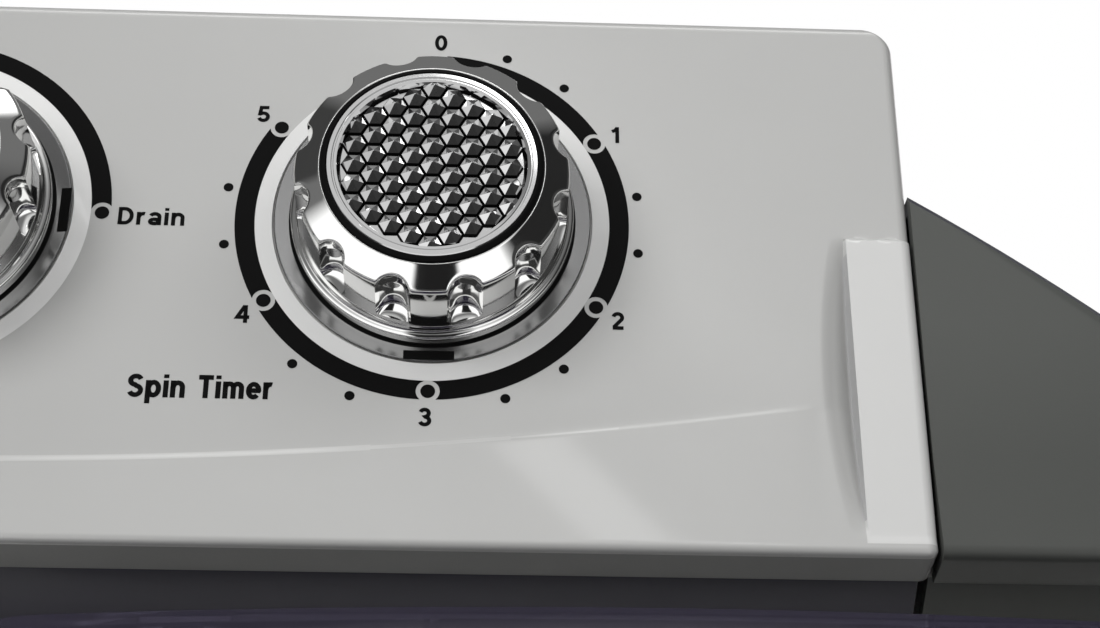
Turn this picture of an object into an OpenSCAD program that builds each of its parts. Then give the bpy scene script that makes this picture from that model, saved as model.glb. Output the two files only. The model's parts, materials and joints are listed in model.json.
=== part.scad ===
// Twin-tub mini washing machine: wash tub on the left, spin basket on the right,
// a sloping control console over the rear. Millimetres, front towards -Y, floor at z = 0.

/* [Overall] */
// Width over the top deck and console
deck_w = 600; // [560:5:660]
// Depth over the top deck
deck_d = 376; // [370:2:400]
// Corner radius of the deck in plan
deck_r = 30; // [20:1:40]
// Height of the top deck's face above the floor
deck_z = 505; // [490:5:560]
// Thickness of the deck's plate
deck_t = 4; // [3:0.5:6]
// How far the deck's rim hangs over the cabinet
rim_drop = 22; // [14:1:30]
// Gap between the rim and the cabinet wall
rim_gap = 1; // [0.5:0.25:2]
// Moulded wall of cabinet, deck and console
wall = 3; // [2.5:0.25:4]

/* [Cabinet] */
// How far the cabinet's rear wall stands in from the deck's rear edge
rear_inset = 16; // [14:1:22]
// Height of the rubber feet
foot_h = 18; // [12:1:30]
// Radius of a foot at the floor
foot_r = 19; // [14:1:24]
// How far each foot's centre stands in from the cabinet's corner
foot_inset = 48; // [40:2:70]
// Thickness of the base plate
base_t = 6; // [4:0.5:8]
// Width of a hand grip in the side wall
grip_w = 110; // [90:5:130]
// Height of a hand grip
grip_h = 34; // [28:1:44]
// Depth of the hand grip's pocket
grip_depth = 12; // [10:0.5:14]
// Height of the hand grips' centre
grip_z = 430; // [400:5:440]

/* [Wash tub] */
// Gap between the cabinet's left wall and the wash tub
tub_side = 20.5; // [18:0.5:30]
// Gap between the cabinet's front wall and the wash tub
tub_front = 7.5; // [5:0.5:14]
// From the wash tub's rear wall to the deck's rear edge
tub_rear = 145; // [143:0.5:150]
// Inside corner radius of the wash tub
wash_r = 58; // [45:1:75]
// Wall of both tubs
tub_t = 2.5; // [2:0.25:3.5]
// Height of both tubs' floors above the ground
tub_floor_z = 172; // [165:1:190]
// Width of the tub flanges under the deck
flange = 3; // [2:0.5:4]
// How far the flanges reach out past the tubs' mouths
flange_lap = 5; // [4:0.5:8]
// Gap between the pulsator and the tub's front and rear walls
pulsator_gap = 15; // [8:1:24]
// Number of pulsator vanes
vanes = 6; // [4:1:8]

/* [Spin tub] */
// From the cabinet's right wall to the middle of the spin tub
spin_side = 143; // [138:0.5:146]
// How far the spin tub's mouth reaches past the wash tub's, front and rear
spin_over = 1; // [0:0.5:2]
// Gap between the spin basket and the spin tub
basket_gap = 12; // [9:1:20]
// Wall of the spin basket
basket_t = 1.8; // [1.4:0.2:3]
// Height of the spin basket
basket_h = 278; // [240:2:285]
// Gap between the basket's floor and the tub's floor
basket_lift = 14; // [11:1:20]
// Drain holes round the basket in each row
basket_holes = 20; // [12:2:28]
// Rows of drain holes
basket_rows = 7; // [4:1:8]
// Radius of a drain hole
basket_hole_r = 2.6; // [1.5:0.1:3.5]

/* [Lids] */
// Height of the lids' top face above the deck
lid_h = 22; // [20:0.5:24]
// Wall of the clear lids
lid_t = 2.4; // [2:0.2:3]
// Corner radius of the lids in plan
lid_r = 20; // [12:1:26]
// Rise of the lids' crown
lid_crown = 5; // [3:0.5:6]
// Gap between the lids, and from the lids to the deck's edge
lid_gap = 5; // [4:0.5:8]
// Widest opening of the lids, in degrees
lid_open = 95; // [80:1:96]
// Radius of a lid's hinge pin
hinge_pin_r = 2.5; // [2:0.1:3]
// Radial clearance of a turning pin or shaft
run_gap = 0.06; // [0.03:0.01:0.08]

/* [Console] */
// Slope of the control panel from the horizontal, in degrees
slope = 35; // [33:0.5:37]
// Half-width of the silver control panel
panel_half = 202.6; // [198:0.2:208]
// From the dial line up the slope to the panel's top edge
panel_up = 51.2; // [48:0.2:52]
// From the dial line down the slope to the panel's nose
panel_down = 71.1; // [69:0.1:73]
// How far the nose stands proud of the dial face
nose_rise = 2.3; // [1.5:0.1:3]
// Depth of the lip under the nose
lip_depth = 11.2; // [9:0.1:12]
// Distance from the dial line to the deck's rear edge
dial_inset = 56.5; // [55:0.5:58]
// Height of the dial line above the deck
dial_rise = 66; // [65:0.5:68]
// Seam between the panel and an end cap
seam = 0.7; // [0.4:0.1:1.2]
// Height of the end cap's rim on the panel's edge, up the slope from the dial line
shoulder_top = 9; // [4:0.5:16]
// Radius of the end cap's falling rim
shoulder_r = 467; // [420:1:520]

/* [Knobs] */
// Distance between neighbouring dials
dial_pitch = 104.9; // [98:0.1:110]
// Mean radius of the printed dial band
dial_r = 38.2; // [36:0.1:40]
// Radius of a knob's skirt
skirt_r = 32; // [30:0.5:34]
// Radius of the fluted grip at its base
grip_r = 28.3; // [27:0.1:29]
// Radius of the grip's brow, where its side meets the shoulder
brow_r = 27.8; // [25.5:0.1:28]
// Height of the brow over the panel
brow_z = 17.5; // [16:0.5:19]
// Radius of the black ring round the lens
ring_r = 21.7; // [21.5:0.1:22.5]
// Height of the knob over the panel
knob_h = 23; // [22:0.5:26]
// Radius of the clear lens
lens_r = 20.6; // [19.5:0.1:21]
// Number of scallops round the grip
scallops = 12; // [9:1:12]
// Radius of one scallop
scallop_r = 3.8; // [2.5:0.1:4]
// Distance of a scallop's axis from the knob's
scallop_axis = 28; // [27:0.1:29]
// Height of a scallop's foot over the panel
scallop_foot = 5; // [4:0.5:8]
// Distance between the lens's studs
stud_pitch = 4.4; // [4:0.1:5]
// Radius of a knob's spindle
spindle_r = 3; // [2.5:0.1:4]

/* [Drives] */
// Radius of the pulsator's shaft
wash_shaft_r = 7; // [6:0.25:9]
// Pitch radius of the large pulley
pulley_r = 62; // [55:1:66]
// Pitch radius of the motor's pulley
motor_pulley_r = 18; // [15:0.5:22]
// Offset of the wash motor to the right of the pulsator
motor_dx = 112; // [110:1:114]
// Offset of the wash motor behind the pulsator
motor_dy = 106; // [104:1:112]
// Radius of the wash motor
motor_r = 50; // [44:1:52]
// Radius of a motor's shaft
motor_shaft_r = 5; // [4:0.25:6]
// Radius of the spin shaft
spin_shaft_r = 6; // [5:0.25:7]
// Radius of the spin motor
spin_motor_r = 50; // [44:1:54]
// Radius of the brake drum
drum_r = 34; // [30:1:38]
// Angle the brake lever turns through, in degrees
brake_turn = 5; // [3:0.5:6]

/* [Drain] */
// Bore radius of the drain pipes
pipe_r = 9; // [8:0.5:10]
// Wall of the drain pipes
pipe_t = 2; // [1.5:0.25:2.5]
// Outside radius of the drain outlet
outlet_r = 12; // [11:0.25:13]
// Length of the drain outlet's spigot behind the cabinet
outlet_len = 14; // [12:0.5:14]
// Height of the drain pipes' axis
drain_z = 62; // [58:1:70]
// Lift of the drain valve
valve_lift = 9; // [7:0.5:11]
// Bore radius of the water inlet
inlet_r = 10; // [8:0.5:12]
// Length of the water inlet's bore
inlet_len = 14; // [12:1:18]

/* [Hidden] */
$fn = 96;
eps = 0.01;
free_gap = 0.3;

cab_w = deck_w - 2 * (wall + rim_gap);
cab_front = -deck_d / 2 + wall + rim_gap;
cab_rear = deck_d / 2 - rear_inset;
cab_d = cab_rear - cab_front;
cab_y = (cab_rear + cab_front) / 2;
cab_r = deck_r - wall - rim_gap;
cab_z0 = foot_h + base_t;
cab_z1 = deck_z - deck_t;

// Both tubs stand on one line; the spin tub is as deep as the wash tub, and round
mid_gap = 6;
wash_w = cab_w / 2 - wall - tub_side - tub_t - mid_gap;
wash_x = -(mid_gap + wash_w / 2);
wash_front = cab_front + wall + tub_front + tub_t;
wash_rear = deck_d / 2 - tub_rear;
wash_d = wash_rear - wash_front;
mouth_y = (wash_front + wash_rear) / 2;
pulsator_r = wash_d / 2 - pulsator_gap;
spin_r = wash_d / 2 + spin_over;
spin_x = cab_w / 2 - wall - spin_side;
basket_r = spin_r - basket_gap;
basket_z = tub_floor_z + basket_lift;
seam_x = panel_half + seam;

dial_y = deck_d / 2 - dial_inset;
dial_z = deck_z + dial_rise;
nose_y = dial_y - panel_down * cos(slope) - nose_rise * sin(slope);
nose_z = dial_z - panel_down * sin(slope) + nose_rise * cos(slope);
top_y = dial_y + panel_up * cos(slope);
top_z = dial_z + panel_up * sin(slope);

lid_top = deck_z + lid_h;
hinge_y = nose_y - 19;
hinge_z = lid_top - 12;
lid_rear = hinge_y + 8;
lid_front = -deck_d / 2 + lid_gap + 4;
split_x = 12;
wash_lid_x0 = -deck_w / 2 + lid_gap + 4;
wash_lid_x1 = split_x - lid_gap / 2;
spin_lid_x0 = split_x + lid_gap / 2;
spin_lid_x1 = deck_w / 2 - lid_gap - 4;
hinge_inset = 47.5;
bracket_w = 14;

motor_x = wash_x + motor_dx;
motor_y = mouth_y + motor_dy;
belt_z = cab_z0 + 28;
belt_w = 9;
belt_t = 4;
groove = 5;

lip_foot = on_slope(-panel_down - 1.8, nose_rise - lip_depth);
front_y = nose_y + 9;
console_rear = deck_d / 2 - 3;
crease_down = 50;
crease_mid = -54.2;
crease_r = 1148;
crease_w = 0.5;
crease_x = panel_half - 22.6;
back_fall = 58;
back_z = top_z - (console_rear - top_y) * tan(back_fall);
top_r = 3;
panel_roll = 6;
panel_corner = 7.5;
housing_half = panel_half - 1.2;
strip_w = 13;
strip_up = 64;
strip_gap = 3;
strip_rise = 2.4;
scoop_x = panel_half - 20;
scoop_r = 160;
scoop_depth = 2;
scoop_slope = 20;
scoop_half = 32;
rim_bevel = 1.6;
cheek_t = 3;
lid_grip_w = 90;
stud_field_r = lens_r - 3;

window_w = 480;
window_h = 236;
window_z = 222;
cover_t = 2.5;
cover_lap = 16;
screw_r = 2;
screw_head_r = 4.5;
groove_z = 96;
grip_y = -20;
mouth_rim = 8;
filter_x = wash_x - wash_w / 2;
filter_t = 8;
filter_w = 80;
filter_h = 124;
filter_z = 360;
filter_hole_r = 3.2;
overflow_w = 62;
overflow_t = 9;
overflow_low = 60;
slot_w = 38;
slot_h = 6;
slot_pitch = 24;
unit_w = 48;
unit_d = 40;
unit_h = 23;
timer_can_r = 15;

pulsator_z = tub_floor_z + 6;
dome_r = 32;
dome_top_r = 22;
dome_h = 24;
cap_screw_r = 8;
vane_r = 46;
vane_t = 8;
vane_h = 22;
gear_z0 = belt_z + belt_w + 11;
gear_neck_r = 18;
gear_r = 34;
gear_rim_h = 14;
gear_cone_h = 16;
gear_top_r = 24;
gear_tube_r = 20;
gear_plate_r = 42;
gear_plate_t = 5;
rib_h = 24;
bridge_y = (mouth_y + motor_y) / 2;
bridge_z = gear_z0 + 4;
bridge_t = 5;
bridge_w = 260;
bridge_d = 220;
bridge_r = 14;
post_inset = 14;
post_r = 6;
post_bore = 2.5;
motor_z0 = bridge_z + bridge_t;
motor_h = 78;
motor_eye_r = 16;
hub_r = 26;
ring_h = 14;
ring_z = basket_z + basket_h - ring_h;
spin_motor_z0 = cab_z0 + 22;
spin_motor_h = 58;
drum_z = spin_motor_z0 + spin_motor_h + 8;
drum_h = 20;
bellows_z = tub_floor_z - tub_t - 28;
bellows_r = 26;
bellows_neck_r = 14;
bellows_fold = 6;
bellows_pitch = 5;
pivot_x = spin_x + 46;
pivot_y = mouth_y + 20;
lever_pin_r = 3;
lever_t = 8;
lever_eye_r = 8;
lever_w = 7;
lever_arm = 26;
shoe_w = 18;
lever_z = drum_z - 2 + free_gap;
shoe_y = mouth_y + drum_r + 1 + (pivot_x - spin_x) * sin(brake_turn);

drain_x = 0;
valve_y = cab_rear - 32;
valve_r = 20;
valve_top = 100;
valve_reach = 26;
stem_r = 3;
stem_top = 200;
strap_top = deck_z + 27;
wash_drain_x = wash_x - wash_w / 2 + 30;
wash_drain_y = wash_rear - 33;
spin_drain_y = mouth_y + spin_r - 26;
outlet_seat = cab_rear - 9;
gland_x = -60;
gland_r = 8;
can_x = spin_x - 65;
can_y = valve_y - 45;
can_r = 18;
can_h = 60;
inlet_t = 1.8;
inlet_x = -150;
inlet_z = deck_z + inlet_r + inlet_t + wall;
inlet_turn_y = console_rear - 85;
spout_z = cab_z1 - flange - inlet_r - 8;

// A point on the panel's slope: up it from the dial line, and out along its normal
function on_slope(up, out) =
    [dial_y + up * cos(slope) - out * sin(slope), dial_z + up * sin(slope) + out * cos(slope)];

// A point on the slope behind the crest: down it from the crest, and out along its normal
function on_fall(down, out) =
    [top_y + down * cos(back_fall) + out * sin(back_fall),
     top_z - down * sin(back_fall) + out * cos(back_fall)];

function unit(v) = v / norm(v);

// One corner of an outline, rounded with an arc that touches both of its edges
function arc_corner(a, b, c, r, n = 6) =
    let (u = unit(a - b), v = unit(c - b), half = acos(u * v) / 2,
         reach = r / tan(half), centre = b + unit(u + v) * r / sin(half),
         p = b + u * reach - centre, q = b + v * reach - centre,
         turn = atan2(p[0] * q[1] - p[1] * q[0], p * q))
    r == 0 ? [b] : [for (i = [0 : n]) let (t = turn * i / n)
        centre + [p[0] * cos(t) - p[1] * sin(t), p[0] * sin(t) + p[1] * cos(t)]];

// An outline whose corners are [point, radius] pairs
function rounded(corners) =
    let (n = len(corners))
    [for (i = [0 : n - 1])
        each arc_corner(corners[(i + n - 1) % n][0], corners[i][0],
                        corners[(i + 1) % n][0], corners[i][1])];

module rounded_rect(w, d, r) {
    square([w - 2 * r, d], center = true);
    square([w, d - 2 * r], center = true);
    for (x = [-1, 1], y = [-1, 1])
        translate([x * (w / 2 - r), y * (d / 2 - r)]) circle(r);
}

module slab(w, d, r, z0, z1) {
    translate([0, 0, z0]) linear_extrude(z1 - z0) rounded_rect(w, d, r);
}

module tube(r_out, r_in, h) {
    difference() {
        cylinder(r = r_out, h = h);
        translate([0, 0, -1]) cylinder(r = r_in, h = h + 2);
    }
}

// Places a child whose outline was drawn in Y and Z, from x0 to x1
module along_x(x0, x1) {
    translate([x0, 0, 0]) rotate([90, 0, 90]) linear_extrude(x1 - x0) children();
}

// Places a child on the panel's face, z out along its normal
module on_panel(x = 0) {
    translate([x, dial_y, dial_z]) rotate([slope, 0, 0]) children();
}

module at_wash() { translate([wash_x, mouth_y, 0]) children(); }
module at_spin() { translate([spin_x, mouth_y, 0]) children(); }
module at_motor() { translate([motor_x, motor_y, 0]) children(); }
module along_y() { rotate([-90, 0, 0]) children(); }

// Cabinet
module cabinet_shell() {
    color("whitesmoke") {
        difference() {
            translate([0, cab_y, 0]) difference() {
                slab(cab_w, cab_d, cab_r, cab_z0, cab_z1);
                slab(cab_w - 2 * wall, cab_d - 2 * wall, cab_r - wall, cab_z0 - 1, cab_z1 + 1);
            }
            rear_window();
            translate([drain_x, cab_rear - wall - 1, drain_z])
                along_y() cylinder(r = outlet_r + 1 + free_gap, h = wall + 2);
            translate([gland_x, cab_rear - wall - 1, drain_z])
                along_y() cylinder(r = gland_r, h = wall + 2);
            for (side = [-1, 1]) grip_space(side, wall + 1);
            front_groove();
        }
        for (side = [-1, 1]) grip_pocket(side);
    }
}

module rear_window() {
    translate([0, cab_rear, window_z]) rotate([90, 0, 0])
        linear_extrude(2 * wall + 2, center = true) rounded_rect(window_w, window_h, 18);
}

// The styling groove across the front and round to the sides
module front_groove() {
    for (z = [groove_z, groove_z + 16])
        translate([0, cab_y, 0]) difference() {
            slab(cab_w + 2, cab_d + 2, cab_r + 1, z, z + 4);
            slab(cab_w - 2.4, cab_d - 2.4, cab_r - 1.2, z - 1, z + 5);
            translate([0, cab_d / 2, z]) cube([cab_w + 4, cab_d, 20], center = true);
        }
}

module grip_space(side, depth) {
    translate([side * (cab_w / 2 + 1 - depth / 2), grip_y, grip_z]) rotate([90, 0, 90])
        linear_extrude(depth + 2, center = true) rounded_rect(grip_w, grip_h, 12);
}

module grip_pocket(side) {
    difference() {
        translate([side * (cab_w / 2 - wall - grip_depth / 2), grip_y, grip_z]) rotate([90, 0, 90])
            linear_extrude(grip_depth, center = true)
                rounded_rect(grip_w + 2 * wall, grip_h + 2 * wall, 12 + wall);
        translate([side * (cab_w / 2 - wall - grip_depth / 2 + wall), grip_y, grip_z])
            rotate([90, 0, 90]) linear_extrude(grip_depth, center = true)
                rounded_rect(grip_w, grip_h, 12);
    }
}

module base_plate() {
    color("dimgray") difference() {
        translate([0, cab_y, 0]) slab(cab_w, cab_d, cab_r, foot_h, cab_z0);
        for (i = [0 : 5]) translate([wash_x - 60 + i * 24, mouth_y, foot_h - 1])
            linear_extrude(base_t + 2) rounded_rect(8, 90, 3.9);
    }
}

module foot_places() {
    for (x = [-1, 1], y = [-1, 1])
        translate([x * (cab_w / 2 - foot_inset), cab_y + y * (cab_d / 2 - foot_inset), 0])
            children();
}

module rubber_feet() {
    color("black") foot_places() rotate_extrude()
        polygon(rounded([[[0, 0], 0], [[foot_r, 0], 2], [[foot_r - 3, foot_h], 0], [[0, foot_h], 0]]));
}

module rear_cover() {
    color("gainsboro") difference() {
        translate([0, cab_rear + cover_t / 2, window_z]) rotate([90, 0, 0])
            linear_extrude(cover_t, center = true)
                rounded_rect(window_w + 2 * cover_lap, window_h + 2 * cover_lap, 18 + cover_lap);
        for (side = [-1, 1], i = [0 : 8])
            translate([side * window_w / 4, cab_rear + cover_t / 2, window_z - 64 + i * 16])
                rotate([90, 0, 0]) linear_extrude(cover_t + 2, center = true)
                    rounded_rect(window_w / 2 - 50, 5, 2.4);
        cover_screw_places() cylinder(r = screw_r + free_gap, h = 4 * cover_t, center = true);
    }
}

module cover_screw_places() {
    for (x = [-1, 0, 1], z = [-1, 1])
        translate([x * (window_w / 2 + cover_lap - 9), cab_rear + cover_t / 2,
                   window_z + z * (window_h / 2 + cover_lap - 9)]) along_y() children();
}

// A cross-head screw whose head seats at z = 0
module screw(length) {
    difference() {
        union() {
            cylinder(r1 = screw_head_r, r2 = screw_head_r - 1, h = 2);
            translate([0, 0, -length]) cylinder(r = screw_r, h = length + 0.5);
        }
        translate([0, 0, 1]) for (a = [0, 90]) rotate([0, 0, a])
            translate([-2.6, -0.45, 0]) cube([5.2, 0.9, 2]);
    }
}

module rear_screws() {
    color("silver") {
        cover_screw_places() translate([0, 0, cover_t / 2]) screw(cover_t);
        console_screw_places() screw(wall + 4);
    }
}

// Deck and tubs
module wash_mouth(grow) {
    translate([wash_x, mouth_y]) rounded_rect(wash_w + 2 * grow, wash_d + 2 * grow, wash_r + grow);
}

module spin_mouth(grow) { translate([spin_x, mouth_y]) circle(spin_r + grow); }

module top_deck() {
    color("whitesmoke") {
        difference() {
            union() {
                slab(deck_w, deck_d, deck_r, cab_z1, deck_z);
                translate([0, 0, deck_z - eps]) linear_extrude(mouth_rim + eps) {
                    wash_mouth(wall);
                    spin_mouth(wall);
                }
            }
            translate([0, 0, cab_z1 - 1]) linear_extrude(deck_t + mouth_rim + 2) {
                wash_mouth(0);
                spin_mouth(0);
            }
            translate([drain_x, valve_y, cab_z1 - 1]) linear_extrude(deck_t + 2)
                rounded_rect(22, 14, 4);
            for (x = [-dial_pitch, dial_pitch]) translate([x, valve_y + 10, cab_z1 - 1])
                cylinder(r = 9, h = deck_t + 2);
            translate([inlet_x, inlet_turn_y, cab_z1 - 1])
                cylinder(r = inlet_r + inlet_t + free_gap, h = deck_t + 2);
        }
        difference() {
            slab(deck_w, deck_d, deck_r, deck_z - rim_drop, cab_z1 + eps);
            slab(deck_w - 2 * wall, deck_d - 2 * wall, deck_r - wall, deck_z - rim_drop - 1, deck_z);
        }
    }
}

module wash_tub() {
    color("white") difference() {
        union() {
            translate([0, 0, tub_floor_z - tub_t]) linear_extrude(cab_z1 - tub_floor_z + tub_t)
                wash_mouth(tub_t);
            translate([0, 0, cab_z1 - flange]) linear_extrude(flange) wash_mouth(flange_lap);
        }
        translate([0, 0, tub_floor_z]) linear_extrude(cab_z1 - tub_floor_z + 1) wash_mouth(0);
        at_wash() cylinder(r = gear_neck_r + free_gap, h = deck_z);
        translate([wash_drain_x, wash_drain_y, 0]) cylinder(r = pipe_r, h = tub_floor_z + 1);
        translate([inlet_x, wash_rear - 1, spout_z]) along_y() cylinder(r = inlet_r - 2, h = tub_t + 2);
    }
}

module spin_tub() {
    color("white") difference() {
        union() {
            translate([0, 0, tub_floor_z - tub_t]) linear_extrude(cab_z1 - tub_floor_z + tub_t)
                spin_mouth(tub_t);
            translate([0, 0, cab_z1 - flange]) linear_extrude(flange) spin_mouth(flange_lap);
        }
        translate([0, 0, tub_floor_z]) linear_extrude(cab_z1 - tub_floor_z + 1) spin_mouth(0);
        at_spin() cylinder(r = bellows_r, h = deck_z);
        translate([spin_x, spin_drain_y, 0]) cylinder(r = pipe_r, h = tub_floor_z + 1);
    }
}

// The lint catcher clips on the tub's left wall
module lint_filter() {
    color("lightskyblue") translate([filter_x, mouth_y, filter_z]) difference() {
        rotate([90, 0, 90]) linear_extrude(filter_t) rounded_rect(filter_w, filter_h, 10);
        for (i = [-3 : 3], j = [-4 : 4])
            translate([-1, i * filter_w / 8, j * 12]) rotate([0, 90, 0])
                cylinder(r = filter_hole_r, h = filter_t + 2);
    }
}

// The slotted overflow cover stands on the tub's rear wall
module overflow_cover() {
    color("whitesmoke") translate([wash_x, wash_rear, (tub_floor_z + cab_z1) / 2]) difference() {
        rotate([90, 0, 0]) linear_extrude(overflow_t)
            rounded_rect(overflow_w, cab_z1 - tub_floor_z - overflow_low, 12);
        translate([0, 1, 0]) rotate([90, 0, 0]) linear_extrude(overflow_t - 1)
            rounded_rect(overflow_w - 5, cab_z1 - tub_floor_z - overflow_low - 5, 10);
        for (i = [-4 : 4]) translate([0, -5, i * slot_pitch]) rotate([90, 0, 0])
            linear_extrude(8, center = true) rounded_rect(slot_w, slot_h, 2.8);
    }
}

// Wash drive
module pulsator() {
    color("lightsteelblue") at_wash() {
        difference() {
            rotate_extrude() polygon(rounded([
                [[0, pulsator_z], 0], [[pulsator_r - 4, pulsator_z], 0],
                [[pulsator_r, pulsator_z + 4], 1.5], [[pulsator_r - 2, pulsator_z + 8], 1.5],
                [[dome_r, pulsator_z + dome_h / 2], 12], [[dome_top_r, pulsator_z + dome_h], 4],
                [[0, pulsator_z + dome_h], 0]]));
            translate([0, 0, pulsator_z - 1]) cylinder(r = wash_shaft_r, h = 17);
            translate([0, 0, pulsator_z - 1]) cylinder(r = screw_r, h = 2 * dome_h);
            translate([0, 0, pulsator_z + dome_h - 4]) cylinder(r = cap_screw_r, h = 10);
            for (a = [0 : 30 : 330]) rotate([0, 0, a + 15]) translate([pulsator_r - 20, 0, 0])
                cylinder(r = 2.2, h = deck_z);
        }
        for (i = [0 : vanes - 1]) rotate([0, 0, i * 360 / vanes]) pulsator_vane();
    }
}

// A curved vane: a slice of a ring that rises from the disc, low at its rim
module pulsator_vane() {
    intersection() {
        translate([vane_r, -vane_r, pulsator_z + 4])
            tube(vane_r + vane_t / 2, vane_r - vane_t / 2, vane_h);
        rotate_extrude() polygon([
            [dome_top_r + 2, pulsator_z + 6], [pulsator_r - 6, pulsator_z + 6],
            [pulsator_r - 10, pulsator_z + 14], [dome_top_r + 2, pulsator_z + dome_h]]);
        translate([dome_top_r - 2, -vane_r - 14, 0]) cube([pulsator_r, vane_r + 34, deck_z]);
    }
}

module pulsator_screw() {
    color("silver") at_wash() difference() {
        union() {
            translate([0, 0, pulsator_z + dome_h - 4]) cylinder(r = cap_screw_r - 0.4, h = 3);
            translate([0, 0, pulsator_z + 8]) cylinder(r = screw_r, h = 13);
        }
        translate([0, 0, pulsator_z + 21.4]) cylinder(r = 3.4, h = 4, $fn = 6);
    }
}

module pulsator_shaft() {
    color("silver") at_wash() difference() {
        union() {
            translate([0, 0, belt_z - belt_w - 6])
                cylinder(r = wash_shaft_r, h = pulsator_z + 16 - belt_z + belt_w + 6);
            translate([0, 0, gear_z0 - 3]) cylinder(r = wash_shaft_r + 3, h = 2.7);
        }
        translate([0, 0, pulsator_z + 8]) cylinder(r = screw_r, h = 10);
    }
}

module grooved_pulley(r, bore, spokes = 0) {
    difference() {
        translate([0, 0, belt_z]) rotate_extrude() polygon([
            [bore, -belt_w], [r, -belt_w], [r, -belt_w + 2], [r - groove, -2.4], [r - groove, 2.4],
            [r, belt_w - 2], [r, belt_w], [bore, belt_w]]);
        if (spokes > 0) for (i = [0 : spokes - 1]) rotate([0, 0, i * 360 / spokes])
            translate([r * 0.53, 0, belt_z - belt_w - 1]) cylinder(r = r * 0.19, h = 2 * belt_w + 2);
    }
}

module wash_pulley() {
    color("darkgray") at_wash() grooved_pulley(pulley_r, wash_shaft_r, 5);
}

module shaft_seal() {
    color("black") at_wash() translate([0, 0, tub_floor_z]) difference() {
        cylinder(r = gear_neck_r, h = 4);
        translate([0, 0, -1]) cylinder(r = wash_shaft_r + run_gap, h = 6);
    }
}

module gear_housing() {
    color("gray") at_wash() difference() {
        union() {
            translate([0, 0, gear_z0]) cylinder(r = gear_r, h = gear_rim_h);
            translate([0, 0, gear_z0 + gear_rim_h])
                cylinder(r1 = gear_r, r2 = gear_top_r, h = gear_cone_h);
            translate([0, 0, gear_z0]) cylinder(r = gear_tube_r, h = tub_floor_z - tub_t - gear_z0);
            translate([0, 0, tub_floor_z - tub_t - gear_plate_t])
                cylinder(r = gear_plate_r, h = gear_plate_t);
            translate([0, 0, tub_floor_z - tub_t - 1]) cylinder(r = gear_neck_r, h = tub_t + 1);
            for (a = [0 : 60 : 300]) rotate([0, 0, a])
                translate([gear_neck_r, -wall / 2, tub_floor_z - tub_t - rib_h - 2])
                    cube([gear_plate_r - gear_neck_r - 2, wall, rib_h]);
        }
        translate([0, 0, gear_z0 - 1]) cylinder(r = wash_shaft_r + run_gap, h = deck_z);
    }
}

// The steel bridge that carries the gear housing and the wash motor on four posts
module drive_bracket() {
    color("lightgray") difference() {
        union() {
            translate([(wash_x + motor_x) / 2, bridge_y, bridge_z])
                linear_extrude(bridge_t) rounded_rect(bridge_w, bridge_d, bridge_r);
            bridge_posts() cylinder(r = post_r, h = bridge_z - cab_z0);
        }
        at_wash() translate([0, 0, bridge_z - 1]) cylinder(r = gear_r + free_gap, h = bridge_t + 2);
        at_motor() translate([0, 0, bridge_z - 1]) cylinder(r = motor_eye_r, h = bridge_t + 2);
        bridge_posts() translate([0, 0, -1]) cylinder(r = post_bore, h = motor_z0);
    }
}

// The bridge's four posts stand on the base plate
module bridge_posts() {
    for (x = [-1, 1], y = [-1, 1])
        translate([(wash_x + motor_x) / 2 + x * (bridge_w / 2 - post_inset),
                   bridge_y + y * (bridge_d / 2 - post_inset), cab_z0]) children();
}

module wash_motor() {
    color("dimgray") at_motor() difference() {
        union() {
            translate([0, 0, motor_z0]) rotate_extrude() polygon(rounded([
                [[0, 0], 0], [[motor_r - 6, 0], 6], [[motor_r, 16], 4], [[motor_r, motor_h - 16], 4],
                [[motor_r - 6, motor_h], 6], [[0, motor_h], 0]]));
            for (a = [45 : 90 : 315]) rotate([0, 0, a]) translate([motor_r - 2, 0, motor_z0])
                cylinder(r = 6, h = motor_h);
        }
        translate([0, 0, motor_z0 - 1]) cylinder(r = motor_shaft_r + run_gap, h = motor_h + 2);
        for (z = [motor_z0 + 24 : 6 : motor_z0 + motor_h - 24]) translate([0, 0, z])
            tube(motor_r + 1, motor_r - 2, 2);
    }
}

module motor_rotor() {
    color("silver") at_motor() translate([0, 0, belt_z - belt_w - 4])
        cylinder(r = motor_shaft_r, h = motor_z0 + motor_h + 6 - belt_z + belt_w + 4);
}

module motor_pulley() {
    color("darkgray") at_motor() grooved_pulley(motor_pulley_r, motor_shaft_r);
}

module belt_section(r) {
    translate([r, 0]) polygon([[0, -2], [belt_t, -3.2], [belt_t, 3.2], [0, 2]]);
}

// The belt's loop: an arc round each pulley, and the two straight runs that touch both
module drive_belt() {
    r_wash = pulley_r - groove + free_gap;
    r_motor = motor_pulley_r - groove + free_gap;
    reach = norm([motor_dx, motor_dy]);
    lean = acos((r_wash - r_motor) / reach);
    run = sqrt(reach * reach - (r_wash - r_motor) * (r_wash - r_motor));
    color("black") at_wash() translate([0, 0, belt_z]) rotate([0, 0, atan2(motor_dy, motor_dx)]) {
        rotate([0, 0, lean]) rotate_extrude(angle = 360 - 2 * lean) belt_section(r_wash);
        translate([reach, 0, 0]) rotate([0, 0, -lean]) rotate_extrude(angle = 2 * lean)
            belt_section(r_motor);
        for (side = [0, 1]) mirror([0, side, 0]) rotate([0, 0, lean]) rotate([90, 0, 0])
            linear_extrude(run + eps) belt_section(r_wash);
    }
}

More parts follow.
